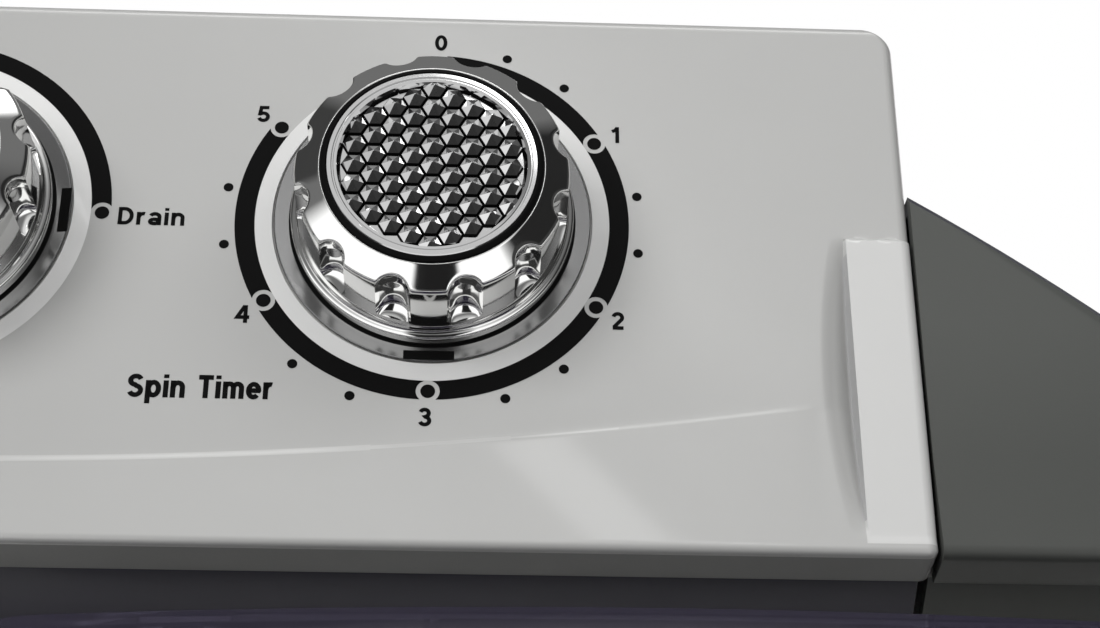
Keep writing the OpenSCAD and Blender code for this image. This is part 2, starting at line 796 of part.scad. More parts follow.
// Spin drive
module spin_basket() {
    color("silver") at_spin() difference() {
        translate([0, 0, basket_z]) rotate_extrude() polygon(rounded([
            [[hub_r, 0], 0], [[basket_r - 10, 0], 4], [[basket_r, 8], 6], [[basket_r, basket_h], 0],
            [[basket_r - basket_t, basket_h], 0], [[basket_r - basket_t, 10], 6],
            [[basket_r - 12, basket_t], 4], [[hub_r, basket_t], 0]]));
        for (row = [0 : basket_rows - 1], i = [0 : basket_holes - 1])
            translate([0, 0, basket_z + 34 + row * (basket_h - 66) / (basket_rows - 1)])
                rotate([0, 0, (i + (row % 2) / 2) * 360 / basket_holes])
                    translate([basket_r - 6, 0, 0]) rotate([0, 90, 0]) cylinder(r = basket_hole_r, h = 12);
        for (a = [0 : 30 : 330]) rotate([0, 0, a]) translate([basket_r - 26, 0, basket_z - 1])
            cylinder(r = 4, h = 6);
    }
}

module balance_ring() {
    color("white") at_spin() translate([0, 0, ring_z]) rotate_extrude() polygon(rounded([
        [[basket_r - basket_t - 13, 3], 3], [[basket_r - basket_t - 9, 0], 2],
        [[basket_r - basket_t, 0], 0], [[basket_r - basket_t, ring_h], 0], [[basket_r + 2, ring_h], 0],
        [[basket_r + 2, ring_h + 4], 2], [[basket_r - 8, ring_h + 5], 3],
        [[basket_r - basket_t - 13, ring_h - 3], 4]]));
}

// The tapered hub that the basket is clamped to
module basket_hub() {
    color("white") at_spin() difference() {
        translate([0, 0, basket_z - 6]) rotate_extrude() polygon(rounded([
            [[spin_shaft_r, 0], 0], [[hub_r + 8, 0], 1], [[hub_r + 8, 6], 0], [[hub_r, 6], 0],
            [[hub_r, 12], 3], [[16, 26], 8], [[12, 66], 4], [[spin_shaft_r, 66], 0]]));
        for (a = [0 : 60 : 300]) rotate([0, 0, a]) translate([hub_r - 4, 0, basket_z - 8])
            cylinder(r = 2, h = 10);
    }
}

module spin_shaft() {
    color("silver") at_spin() translate([0, 0, cab_z0 + 16])
        cylinder(r = spin_shaft_r, h = basket_z + 60 - cab_z0 - 16);
}

module brake_drum() {
    color("gray") at_spin() translate([0, 0, drum_z]) difference() {
        rotate_extrude() polygon([[spin_shaft_r, 0], [14, 0], [14, 4], [drum_r - 4, 4], [drum_r - 4, 0],
                                  [drum_r, 0], [drum_r, drum_h], [14, drum_h], [14, drum_h + 4],
                                  [spin_shaft_r, drum_h + 4]]);
        for (a = [0 : 60 : 300]) rotate([0, 0, a]) translate([22, 0, -1]) cylinder(r = 4, h = 40);
    }
}

// The perforated disc that holds the load down, under the balance ring
module pressure_disc() {
    color("lightsteelblue") at_spin() difference() {
        union() {
            translate([0, 0, ring_z - 4.3]) cylinder(r = basket_r - basket_t - 1, h = 4);
            translate([0, 0, ring_z - 4.3]) tube(basket_r - 22, basket_r - 25, 8);
            for (a = [0, 90]) rotate([0, 0, a]) translate([-60, -1.5, ring_z - 1]) cube([120, 3, 6]);
        }
        for (r = [26, 42, 58], i = [0 : 11]) rotate([0, 0, i * 30 + r]) translate([r, 0, ring_z - 10])
            cylinder(r = 3.5, h = 12);
    }
}

module spin_motor() {
    color("dimgray") {
        at_spin() difference() {
            translate([0, 0, spin_motor_z0]) rotate_extrude() polygon(rounded([
                [[0, 0], 0], [[spin_motor_r + 8, 0], 1], [[spin_motor_r + 8, 4], 1],
                [[spin_motor_r, 6], 2], [[spin_motor_r, spin_motor_h - 10], 6],
                [[spin_motor_r - 16, spin_motor_h], 3], [[0, spin_motor_h], 0]]));
            translate([0, 0, spin_motor_z0 - 1])
                cylinder(r = spin_shaft_r + run_gap, h = spin_motor_h + 2);
            for (a = [0 : 20 : 340]) rotate([0, 0, a])
                translate([spin_motor_r + 1, 0, spin_motor_z0 + 12]) cylinder(r = 2.4, h = spin_motor_h - 26);
        }
        translate([pivot_x, pivot_y, spin_motor_z0 + 4]) cylinder(r = 7, h = drum_z - spin_motor_z0 - 6);
        translate([pivot_x, pivot_y, spin_motor_z0]) cylinder(r = 7, h = 4);
        translate([pivot_x, pivot_y, drum_z - 3]) cylinder(r = lever_pin_r, h = 14);
    }
}

module motor_dampers() {
    color("black") at_spin() for (a = [30 : 120 : 270]) rotate([0, 0, a])
        translate([spin_motor_r - 8, 0, cab_z0]) rotate_extrude() polygon(rounded([
            [[0, 0], 0], [[11, 0], 1], [[8, (spin_motor_z0 - cab_z0) / 2], 4],
            [[11, spin_motor_z0 - cab_z0], 1], [[0, spin_motor_z0 - cab_z0], 0]]));
}

// The bellows that closes the spin tub's floor round the shaft
module bellows_seal() {
    color("black") at_spin() rotate_extrude() polygon([
        [spin_shaft_r + run_gap, bellows_z], [bellows_neck_r, bellows_z],
        [bellows_neck_r, bellows_z + 3],
        for (i = [0 : 3]) each [
            [bellows_r, bellows_z + 6 + i * bellows_pitch],
            [bellows_r - bellows_fold, bellows_z + 6 + (i + 0.5) * bellows_pitch]],
        [bellows_r, tub_floor_z - tub_t], [bellows_r, tub_floor_z + 3],
        [bellows_r - 3, tub_floor_z + 3], [bellows_r - bellows_fold - 3, tub_floor_z - 3],
        for (i = [3 : -1 : 0]) each [
            [bellows_r - bellows_fold - 3, bellows_z + 6 + (i + 0.5) * bellows_pitch],
            [bellows_r - 3, bellows_z + 6 + i * bellows_pitch]],
        [bellows_neck_r - 3, bellows_z + 6], [bellows_neck_r - 3, bellows_z + 5],
        [spin_shaft_r + run_gap, bellows_z + 5]]);
}

// The lever carries its shoe beside the drum, and swings in as the spin lid opens
module brake_lever() {
    color("silver") {
        difference() {
            union() {
                translate([pivot_x, pivot_y, lever_z]) cylinder(r = lever_eye_r, h = lever_t);
                translate([spin_x - 12, shoe_y + 4, lever_z])
                    cube([pivot_x - spin_x + 12, lever_w, lever_t]);
                translate([pivot_x, pivot_y - 3, lever_z]) cube([lever_arm, 6, lever_t]);
                translate([pivot_x - 6, pivot_y - 3, lever_z])
                    cube([12, shoe_y + 4 + lever_w - pivot_y + 3, lever_t]);
            }
            translate([pivot_x, pivot_y, lever_z - 1]) cylinder(r = lever_pin_r + run_gap, h = lever_t + 2);
            translate([pivot_x + lever_arm - 5, pivot_y, lever_z - 1])
                cylinder(r = 1.5, h = lever_t + 2);
        }
        translate([spin_x - shoe_w / 2, shoe_y, lever_z]) cube([shoe_w, 4, lever_t]);
    }
}

// Lids
module lid_crowned(x0, x1, inset) {
    span = x1 - x0;
    crown_r = (span * span / 4 + lid_crown * lid_crown) / (2 * lid_crown);
    intersection() {
        translate([(x0 + x1) / 2, (lid_front + lid_rear) / 2, 0])
            slab(span - 2 * inset, lid_rear - lid_front - 2 * inset, lid_r - inset,
                 deck_z + 2 - (inset > 0 ? 1 : 0), lid_top + 1);
        translate([(x0 + x1) / 2, lid_front - 1, lid_top - inset - crown_r])
            along_y() cylinder(r = crown_r, h = lid_rear - lid_front + 2, $fn = 360);
    }
}

module lid_hinges(x0, x1) {
    for (x = [x0 + hinge_inset, x1 - hinge_inset]) translate([x, hinge_y, hinge_z]) children();
}

module lid(x0, x1) {
    intersection() {
        union() {
            difference() {
                lid_crowned(x0, x1, 0);
                lid_crowned(x0, x1, lid_t);
                translate([x0 - 1, hinge_y - 3, deck_z])
                    cube([x1 - x0 + 2, lid_rear - hinge_y + 4, hinge_z - 5 - deck_z]);
                lid_hinges(x0, x1) translate([-bracket_w / 2 - 1.5, 3, -20])
                    cube([bracket_w + 3, lid_rear - hinge_y, 26]);
            }
            for (y = [hinge_y - 16, hinge_y - 60, hinge_y - 120, hinge_y - 180])
                translate([x0 + lid_t, y, lid_top - lid_crown - 4]) cube([x1 - x0 - 2 * lid_t, 1.6, 9]);
            for (x = [x0 + (x1 - x0) / 3, x1 - (x1 - x0) / 3])
                translate([x, lid_front + lid_t, lid_top - lid_crown - 2])
                    cube([1.6, lid_rear - lid_front - 2 * lid_t, 7]);
            lid_hinges(x0, x1) translate([-bracket_w / 2 + cheek_t + free_gap, -5, 0])
                cube([bracket_w - 2 * cheek_t - 2 * free_gap, 10, 12]);
            lid_hinges(x0, x1) rotate([0, 90, 0])
                cylinder(r = 5, h = bracket_w - 2 * cheek_t - 2 * free_gap, center = true);
        }
        difference() {
            lid_crowned(x0, x1, 0);
            lid_hinges(x0, x1) rotate([0, 90, 0])
                cylinder(r = hinge_pin_r + run_gap, h = bracket_w, center = true);
        }
    }
    translate([(x0 + x1) / 2, lid_front + 9, lid_top - 2]) slab(lid_grip_w, 9, 4.4, 0, 5.5);
}

module wash_lid() { color([0.2, 0.2, 0.26, 0.6]) lid(wash_lid_x0, wash_lid_x1); }

module spin_lid() { color([0.2, 0.2, 0.26, 0.6]) lid(spin_lid_x0, spin_lid_x1); }

module hinge_bracket() {
    for (side = [-1, 1]) translate([side * (bracket_w - cheek_t) / 2, 0, 0]) difference() {
        union() {
            rotate([0, 90, 0]) cylinder(r = 5, h = cheek_t, center = true);
            translate([0, 0, (deck_z - hinge_z) / 2]) cube([cheek_t, 10, hinge_z - deck_z], center = true);
        }
        rotate([0, 90, 0]) cylinder(r = hinge_pin_r, h = bracket_w, center = true);
    }
    translate([0, 0, deck_z - hinge_z + 1]) cube([bracket_w, 10, 2], center = true);
}

module hinge_brackets() {
    color("dimgray") {
        lid_hinges(wash_lid_x0, wash_lid_x1) hinge_bracket();
        lid_hinges(spin_lid_x0, spin_lid_x1) hinge_bracket();
    }
}

module hinge_pin() { rotate([0, 90, 0]) cylinder(r = hinge_pin_r, h = bracket_w + 1, center = true); }

module hinge_pins() {
    color("silver") {
        lid_hinges(wash_lid_x0, wash_lid_x1) hinge_pin();
        lid_hinges(spin_lid_x0, spin_lid_x1) hinge_pin();
    }
}

// Console: its crest falls to the rear, so nothing of it shows over the panel from the front
module console_section() {
    polygon(rounded([
        [[front_y, deck_z], 0], [[front_y, lip_foot[1] + 1], 0], [lip_foot, 0.8],
        [on_slope(-panel_down, nose_rise), 2.5], [on_slope(-crease_down, 0), 0],
        [on_slope(panel_up, 0), top_r], [[console_rear, back_z], 6], [[console_rear, deck_z], 0]]));
}

module console_housing() {
    under = wall + free_gap;
    color("dimgray") difference() {
        along_x(-housing_half, housing_half) polygon(rounded([
            [[front_y, deck_z], 0], [[front_y, lip_foot[1] + 1], 0],
            [on_slope(-panel_down + 8, -under), 0],
            [on_slope(panel_up - under, -under), 0],
            [on_fall(panel_roll + free_gap, -under), 0], [on_fall(panel_roll + free_gap, -0.2), 0],
            [[console_rear, back_z - 0.3], 6], [[console_rear, deck_z], 0]]));
        along_x(-housing_half + wall, housing_half - wall) polygon([
            [front_y + wall, deck_z - 1], [front_y + wall, lip_foot[1]],
            on_slope(-panel_down + 14, -2 * wall), on_slope(panel_up - 9, -2 * wall),
            [console_rear - wall, back_z - 6], [console_rear - wall, deck_z - 1]]);
        dials() linear_extrude(6 * wall, center = true) rounded_rect(unit_w + 8, unit_d + 8, 6);
        translate([inlet_x, console_rear - wall - 1, inlet_z]) along_y()
            cylinder(r = inlet_r + inlet_t + free_gap, h = wall + 2);
        console_screw_places() cylinder(r = screw_r + free_gap, h = 20, center = true);
    }
}

module dials() { for (x = [-dial_pitch, 0, dial_pitch]) on_panel(x) children(); }

module console_screw_places() {
    for (x = [-1, -0.34, 0.34, 1]) translate([x * (housing_half - 16), console_rear, deck_z + 66])
        along_y() children();
}

module control_panel() {
    color("silver") difference() {
        union() {
            difference() {
                panel_blank();
                for (side = [-1, 1]) scoop(side);
                crease_line();
            }
            intersection() {
                for (side = [-1, 1]) on_panel(side * (panel_half - strip_w / 2 - 1.2))
                    translate([0, -strip_up / 2 - strip_gap, -1]) linear_extrude(strip_rise + 1)
                        rounded_rect(strip_w, strip_up, 0.8);
                panel_plan();
            }
        }
        dials() cylinder(r = spindle_r + 1.5, h = 4 * wall, center = true);
    }
}

module panel_blank() {
    intersection() {
        along_x(-panel_half, panel_half) polygon(rounded([
            [lip_foot, 0.8], [on_slope(-panel_down, nose_rise), 2.5],
            [on_slope(-crease_down, 0), 0], [on_slope(panel_up, 0), top_r],
            [on_fall(panel_roll, 0), 0], [on_fall(panel_roll, -wall), 0],
            [on_slope(panel_up - wall, -wall), 0.4], [on_slope(-crease_down, -wall), 0],
            [on_slope(-panel_down + wall, nose_rise - wall), 0],
            [on_slope(-panel_down + 1.2, nose_rise - lip_depth), 0]]));
        panel_plan();
    }
}

module panel_plan() {
    on_panel() linear_extrude(4 * panel_down, center = true)
        translate([0, panel_up - 2 * panel_down])
            rounded_rect(2 * panel_half, 4 * panel_down, panel_corner);
}

// The smile-shaped line that parts the face from the apron
module crease_line() {
    intersection() {
        on_panel() translate([0, crease_mid + crease_r, -0.4]) difference() {
            cylinder(r = crease_r + crease_w, h = 4, $fn = 1440);
            translate([0, 0, -1]) cylinder(r = crease_r, h = 6, $fn = 1440);
        }
        on_panel() translate([-crease_x, crease_mid - 2, -1]) cube([2 * crease_x, 20, 6]);
    }
}

// The crescent beside each end strip: its floor slopes down towards the strip
module scoop(side) {
    deep_r = scoop_r - scoop_depth / tan(scoop_slope);
    intersection() {
        on_panel(side * (scoop_x + scoop_r)) translate([0, -strip_gap - strip_up / 2, -scoop_depth]) {
            cylinder(r1 = deep_r, r2 = scoop_r, h = scoop_depth, $fn = 720);
            translate([0, 0, scoop_depth - eps]) cylinder(r = scoop_r, h = 4, $fn = 720);
        }
        on_panel(side * (panel_half - 12)) translate([0, -strip_gap - strip_up / 2, 0])
            cube([20, 2 * scoop_half, 10], center = true);
    }
}

// The outline of an end cap on the slope: straight at the seam, with a long falling rim
function cap_middle() =
    let (a = [seam_x, shoulder_top], b = [deck_w / 2 - 1, -panel_down], mid = (a + b) / 2,
         out = unit([a[1] - b[1], b[0] - a[0]]))
    mid - out * sqrt(shoulder_r * shoulder_r - norm(b - a) * norm(b - a) / 4);

module cap_outline(inset) {
    intersection() {
        translate(cap_middle()) circle(r = shoulder_r - inset, $fn = 720);
        translate([seam_x - (inset > 0 ? 1 : 0), -3 * panel_down])
            square([deck_w / 2 - seam_x, 5 * panel_down]);
    }
}

// The top of the outline, bevelled along its rim
module cap_bevel() {
    intersection() {
        translate(cap_middle()) cylinder(r1 = shoulder_r, r2 = shoulder_r - 6, h = 6, $fn = 720);
        translate([seam_x, -3 * panel_down, -1]) cube([deck_w / 2 - seam_x, 5 * panel_down, 8]);
    }
}

module end_cap() {
    difference() {
        intersection() {
            along_x(seam_x, deck_w / 2) console_section();
            union() {
                on_panel() translate([0, 0, -4 * panel_down]) linear_extrude(4 * panel_down - rim_bevel)
                    cap_outline(0);
                on_panel() translate([0, 0, -rim_bevel - eps]) cap_bevel();
            }
            slab(deck_w - 2, deck_d - 2, deck_r - 1, deck_z, deck_z + 2 * panel_down);
        }
        intersection() {
            along_x(seam_x - 1, deck_w / 2) polygon([
                [front_y + wall, deck_z - 1], [front_y + wall, lip_foot[1]],
                on_slope(-panel_down + 9, -wall), on_slope(panel_up - 6, -wall),
                [console_rear - wall, back_z - wall], [console_rear - wall, deck_z - 1]]);
            on_panel() linear_extrude(4 * panel_down, center = true) cap_outline(wall);
            slab(deck_w - 2 - 2 * wall, deck_d - 2 - 2 * wall, deck_r - 1 - wall,
                 deck_z - 1, deck_z + 2 * panel_down);
        }
    }
}

module end_cap_right() { color("dimgray") end_cap(); }

module end_cap_left() { color("dimgray") mirror([1, 0, 0]) end_cap(); }

module control_unit(x, can) {
    on_panel(x) difference() {
        union() {
            translate([0, 0, -wall - unit_h]) linear_extrude(unit_h) rounded_rect(unit_w, unit_d, 4);
            if (can) translate([6, 3, -wall - unit_h - 8]) cylinder(r = timer_can_r, h = 9);
        }
        translate([0, 0, -wall - 20]) cylinder(r = spindle_r + run_gap, h = 30);
    }
}

module timer_units() { color("gray") for (x = [-dial_pitch, dial_pitch]) control_unit(x, true); }

module selector_unit() { color("gray") control_unit(0, false); }

// Knobs
module knob_spindle(x) {
    color("silver") on_panel(x) translate([0, 0, -wall - 19])
        cylinder(r = spindle_r, h = wall + 19 + knob_h - 12);
}

// The grip with a scallop for each finger place: a trough with a round foot, open at the shoulder
module knob_grip(x) {
    color("lightgray") on_panel(x) difference() {
        rotate_extrude() polygon(rounded([
            [[0, 0.8], 0], [[skirt_r, 0.8], 0.3], [[skirt_r, 2.1], 0.4], [[grip_r + 0.9, 1.2], 0],
            [[grip_r + 0.9, 3.2], 0.7], [[grip_r, 3.8], 0.2], [[brow_r, brow_z], 0.9],
            [[ring_r, knob_h - 0.9], 0.3], [[ring_r, knob_h - 2], 0],
            [[lens_r, knob_h - 2], 0], [[lens_r, knob_h - 6], 0], [[0, knob_h - 6], 0]]));
        translate([0, 0, -1]) cylinder(r = spindle_r, h = knob_h - 11);
        for (i = [0 : scallops - 1]) rotate([0, 0, (i + 0.5) * 360 / scallops - 90])
            translate([scallop_axis, 0, scallop_foot + scallop_r]) {
                sphere(scallop_r);
                cylinder(r = scallop_r, h = knob_h);
            }
    }
}

module knob_ring(x) {
    color("black") on_panel(x) rotate_extrude() polygon(rounded([
        [[lens_r, knob_h - 2], 0], [[ring_r, knob_h - 2], 0],
        [[ring_r, knob_h - 0.4], 0.4], [[lens_r, knob_h + 0.1], 0.2]]));
}

// The clear lens: a disc with a field of six-sided studs in a honeycomb
module knob_lens(x) {
    color("white") on_panel(x) {
        translate([0, 0, knob_h - 6]) cylinder(r = lens_r, h = 5);
        translate([0, 0, knob_h - 1.01]) tube(lens_r, lens_r - 1, 1);
        for (i = [-5 : 5], j = [-5 : 5]) {
            place = [i * stud_pitch * cos(30), (j + (i % 2) / 2) * stud_pitch];
            if (norm(place) < stud_field_r) translate([place[0], place[1], knob_h - 1.2])
                cylinder(r1 = stud_pitch * 0.52, r2 = stud_pitch * 0.12, h = 1.6, $fn = 6);
        }
    }
}

module wash_knob_spindle() { knob_spindle(-dial_pitch); }
module wash_knob() { knob_grip(-dial_pitch); }
module wash_knob_ring() { knob_ring(-dial_pitch); }
module wash_knob_lens() { knob_lens(-dial_pitch); }
module selector_spindle() { knob_spindle(0); }
module selector_knob() { knob_grip(0); }
module selector_ring() { knob_ring(0); }
module selector_lens() { knob_lens(0); }
module spin_knob_spindle() { knob_spindle(dial_pitch); }
module spin_knob() { knob_grip(dial_pitch); }
module spin_knob_ring() { knob_ring(dial_pitch); }
module spin_knob_lens() { knob_lens(dial_pitch); }

// Drain and supply
module pipe_run(dir, length) { rotate(dir) difference() {
    cylinder(r = pipe_r + pipe_t, h = length);
    translate([0, 0, -1]) cylinder(r = pipe_r, h = length + 2);
} }

// One drain line: down from a tub's floor, back to the rear, and across to the valve
module drain_line(x, y) {
    side = sign(x - drain_x);
    across = abs(x - drain_x) - valve_reach;
    difference() {
        union() {
            translate([x, y, drain_z]) cylinder(r = pipe_r + pipe_t, h = tub_floor_z - tub_t - drain_z);
            translate([x, y, drain_z]) sphere(pipe_r + pipe_t);
            translate([x, y, drain_z]) along_y() cylinder(r = pipe_r + pipe_t, h = valve_y - y);
            translate([x, valve_y, drain_z]) sphere(pipe_r + pipe_t);
            translate([x, valve_y, drain_z]) rotate([0, -side * 90, 0])
                cylinder(r = pipe_r + pipe_t, h = across);
        }
        translate([x, y, drain_z]) cylinder(r = pipe_r, h = tub_floor_z);
        translate([x, y, drain_z]) sphere(pipe_r);
        translate([x, y, drain_z]) along_y() cylinder(r = pipe_r, h = valve_y - y);
        translate([x, valve_y, drain_z]) sphere(pipe_r);
        translate([x, valve_y, drain_z]) rotate([0, -side * 90, 0])
            cylinder(r = pipe_r, h = across + 1);
    }
}

module drain_pipes() {
    color("gray") {
        drain_line(wash_drain_x, wash_drain_y);
        drain_line(spin_x, spin_drain_y);
    }
}

module drain_valve_body() {
    color("whitesmoke") translate([drain_x, valve_y, 0]) difference() {
        union() {
            translate([0, 0, cab_z0]) cylinder(r = valve_r, h = valve_top - cab_z0);
            translate([0, 0, valve_top]) cylinder(r = 9, h = 8);
            translate([-valve_reach, 0, drain_z]) rotate([0, 90, 0])
                cylinder(r = pipe_r + pipe_t + 1, h = 2 * valve_reach);
            translate([0, 0, drain_z]) along_y()
                cylinder(r = pipe_r + pipe_t + 1, h = outlet_seat - valve_y);
        }
        translate([0, 0, drain_z - pipe_r - 2]) cylinder(r = valve_r - 3, h = valve_top - drain_z + pipe_r - 1);
        translate([-valve_reach - 1, 0, drain_z]) rotate([0, 90, 0])
            cylinder(r = pipe_r, h = 2 * valve_reach + 2);
        translate([0, 0, drain_z]) along_y() cylinder(r = pipe_r, h = outlet_seat - valve_y + 1);
        translate([0, 0, valve_top - 4]) cylinder(r = stem_r + run_gap, h = 20);
    }
}

module drain_valve_stem() {
    color("white") translate([drain_x, valve_y, 0]) {
        translate([0, 0, drain_z - pipe_r - 1]) cylinder(r1 = 10, r2 = 12, h = 5);
        translate([0, 0, drain_z - pipe_r + 3]) cylinder(r = stem_r, h = stem_top - drain_z + pipe_r - 3);
        translate([-5, -1, stem_top - 6]) difference() {
            cube([10, 2, strap_top - stem_top + 6]);
            translate([5, -1, strap_top - stem_top]) rotate([-90, 0, 0]) cylinder(r = 2.2, h = 4);
        }
    }
}

module drain_outlet() {
    color("gray") translate([drain_x, 0, drain_z]) difference() {
        union() {
            translate([0, outlet_seat, 0]) along_y()
                cylinder(r = outlet_r + 4, h = cab_rear - wall - outlet_seat);
            translate([0, outlet_seat, 0]) along_y()
                cylinder(r = outlet_r + 1, h = cab_rear + 0.5 - outlet_seat);
            translate([0, outlet_seat, 0]) along_y()
                cylinder(r = outlet_r, h = cab_rear + outlet_len - outlet_seat);
        }
        translate([0, outlet_seat - 1, 0]) along_y() cylinder(r = pipe_r, h = 60);
    }
}

module cable_gland() {
    color("black") translate([gland_x, cab_rear - wall, drain_z]) along_y() difference() {
        union() {
            translate([0, 0, -3]) cylinder(r = gland_r + 2, h = 3);
            cylinder(r = gland_r, h = wall);
            translate([0, 0, wall]) cylinder(r1 = gland_r + 2, r2 = 5.5, h = outlet_len);
        }
        translate([0, 0, -4]) cylinder(r = 3.5, h = 40);
    }
}

module motor_capacitor() {
    color("white") translate([can_x, can_y, cab_z0]) difference() {
        union() {
            cylinder(r = can_r, h = can_h);
            tube(can_r + 2, can_r, 12);
            translate([can_r, -7, 0]) cube([14, 14, wall]);
            for (x = [-6, 6]) translate([x - 3, -0.5, can_h]) cube([6, 1, 8]);
        }
        translate([can_r + 9, 0, -1]) cylinder(r = screw_r, h = wall + 2);
    }
}

// The hose socket at the rear leads over the deck, and down into the wash tub's rear wall
module water_inlet() {
    color("gray") difference() {
        union() {
            inlet_path(inlet_r + inlet_t, 0);
            translate([inlet_x, wash_rear + tub_t + 6, spout_z]) rotate([90, 0, 0])
                cylinder(r = inlet_r + 4, h = 6);
        }
        inlet_path(inlet_r - 2, 1);
        translate([inlet_x, deck_d / 2 - 2 - inlet_len, inlet_z]) along_y()
            cylinder(r = inlet_r, h = inlet_len + 1);
    }
}

module inlet_path(r, over) {
    translate([inlet_x, inlet_turn_y, inlet_z]) along_y()
        cylinder(r = r, h = deck_d / 2 - 2 - inlet_turn_y + over);
    translate([inlet_x, inlet_turn_y, inlet_z]) sphere(r);
    translate([inlet_x, inlet_turn_y, spout_z]) cylinder(r = r, h = inlet_z - spout_z);
    translate([inlet_x, inlet_turn_y, spout_z]) sphere(r);
    translate([inlet_x, inlet_turn_y, spout_z]) rotate([90, 0, 0])
        cylinder(r = r, h = inlet_turn_y - wash_rear - tub_t + over);
}

cabinet_shell();
base_plate();
rubber_feet();
rear_cover();
rear_screws();
top_deck();
wash_tub();
spin_tub();
lint_filter();
overflow_cover();
shaft_seal();
gear_housing();
drive_bracket();
wash_motor();
drive_belt();
spin_motor();
motor_dampers();
bellows_seal();
hinge_brackets();
hinge_pins();
console_housing();
control_panel();
end_cap_right();
end_cap_left();
timer_units();
selector_unit();
drain_pipes();
drain_valve_body();
drain_outlet();
cable_gland();
motor_capacitor();
water_inlet();
wash_lid();
spin_lid();
pulsator();
pulsator_screw();
pulsator_shaft();
wash_pulley();
motor_rotor();
motor_pulley();
spin_basket();
balance_ring();
basket_hub();
spin_shaft();
brake_drum();
pressure_disc();
brake_lever();
drain_valve_stem();
wash_knob_spindle();
wash_knob();
wash_knob_ring();
wash_knob_lens();
selector_spindle();
selector_knob();
selector_ring();
selector_lens();
spin_knob_spindle();
spin_knob();
spin_knob_ring();
spin_knob_lens();
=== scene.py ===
"""Looks of a twin-tub mini washing machine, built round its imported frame.

Lengths are in millimetres in the machine's frame (x to the right, y to the rear, z up) until a
mesh is made, and metres from there on.
"""

import json
import math

import bmesh
import bpy
import numpy as np
from mathutils import Matrix, Vector

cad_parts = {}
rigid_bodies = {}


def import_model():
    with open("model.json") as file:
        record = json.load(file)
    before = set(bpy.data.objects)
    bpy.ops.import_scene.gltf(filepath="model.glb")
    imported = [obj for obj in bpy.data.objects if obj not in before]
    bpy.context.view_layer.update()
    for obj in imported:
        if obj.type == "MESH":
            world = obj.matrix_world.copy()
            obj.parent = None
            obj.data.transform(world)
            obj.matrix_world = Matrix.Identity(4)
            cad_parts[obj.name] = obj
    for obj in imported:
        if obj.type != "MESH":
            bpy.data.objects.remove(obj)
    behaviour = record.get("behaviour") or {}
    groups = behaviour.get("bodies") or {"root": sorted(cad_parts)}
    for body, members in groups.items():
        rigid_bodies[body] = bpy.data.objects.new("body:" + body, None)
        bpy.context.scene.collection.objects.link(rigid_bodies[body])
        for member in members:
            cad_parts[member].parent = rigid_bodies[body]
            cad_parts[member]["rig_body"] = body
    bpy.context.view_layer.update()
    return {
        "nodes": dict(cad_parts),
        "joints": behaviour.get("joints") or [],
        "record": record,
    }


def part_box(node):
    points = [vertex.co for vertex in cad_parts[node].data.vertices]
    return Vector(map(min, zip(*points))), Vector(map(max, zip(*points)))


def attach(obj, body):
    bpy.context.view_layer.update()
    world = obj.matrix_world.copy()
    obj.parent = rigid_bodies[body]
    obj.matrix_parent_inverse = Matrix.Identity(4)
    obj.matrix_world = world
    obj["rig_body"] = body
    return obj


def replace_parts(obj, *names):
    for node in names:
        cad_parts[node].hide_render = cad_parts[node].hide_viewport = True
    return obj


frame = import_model()

MM = 0.001


# Places taken from the frame
def joint(name):
    return next(j for j in frame["joints"] if j["name"] == name)


DIALS = {"wash": "wash_timer_turn", "selector": "selector_turn", "spin": "spin_timer_turn"}
BODY = {dial: joint(name)["child"] for dial, name in DIALS.items()}
DIAL_X = {dial: joint(name)["pos_m"][0] / MM for dial, name in DIALS.items()}
DIAL_Y, DIAL_Z = (value / MM for value in joint("spin_timer_turn")["pos_m"][1:])
NORMAL = Vector(joint("spin_timer_turn")["axis"]).normalized()
UP_SLOPE = Vector((0, NORMAL.z, -NORMAL.y))
SLOPE = math.atan2(-NORMAL.y, NORMAL.z)
PANEL_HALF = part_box("control_panel")[1].x / MM
REST_TURN = {"wash": 0, "selector": -90, "spin": 180}


def on_panel(x, y, z=0.0):
    """A point of the sloping panel: x across, y up the slope from the dials, z out of it."""
    return Vector((x, DIAL_Y, DIAL_Z)) + UP_SLOPE * y + NORMAL * z


# Camera
CAMERA_AT = (111.53, -242.57, 750.77)
CAMERA_TURN = -2.765
CAMERA_DOWN = 28.20
CAMERA_ROLL = 2.525
LENS = 66.62
SENSOR = 36

data = bpy.data.cameras.new("camera")
data.lens = LENS
data.sensor_width = SENSOR
data.clip_start = 0.01
camera = bpy.data.objects.new("camera", data)
bpy.context.scene.collection.objects.link(camera)
camera.matrix_world = (
    Matrix.Translation(Vector(CAMERA_AT) * MM)
    @ Matrix.Rotation(math.radians(CAMERA_TURN), 4, "Z")
    @ Matrix.Rotation(math.radians(90 - CAMERA_DOWN), 4, "X")
    @ Matrix.Rotation(math.radians(CAMERA_ROLL), 4, "Z"))
bpy.context.scene.camera = camera
bpy.context.scene.view_settings.view_transform = "Standard"


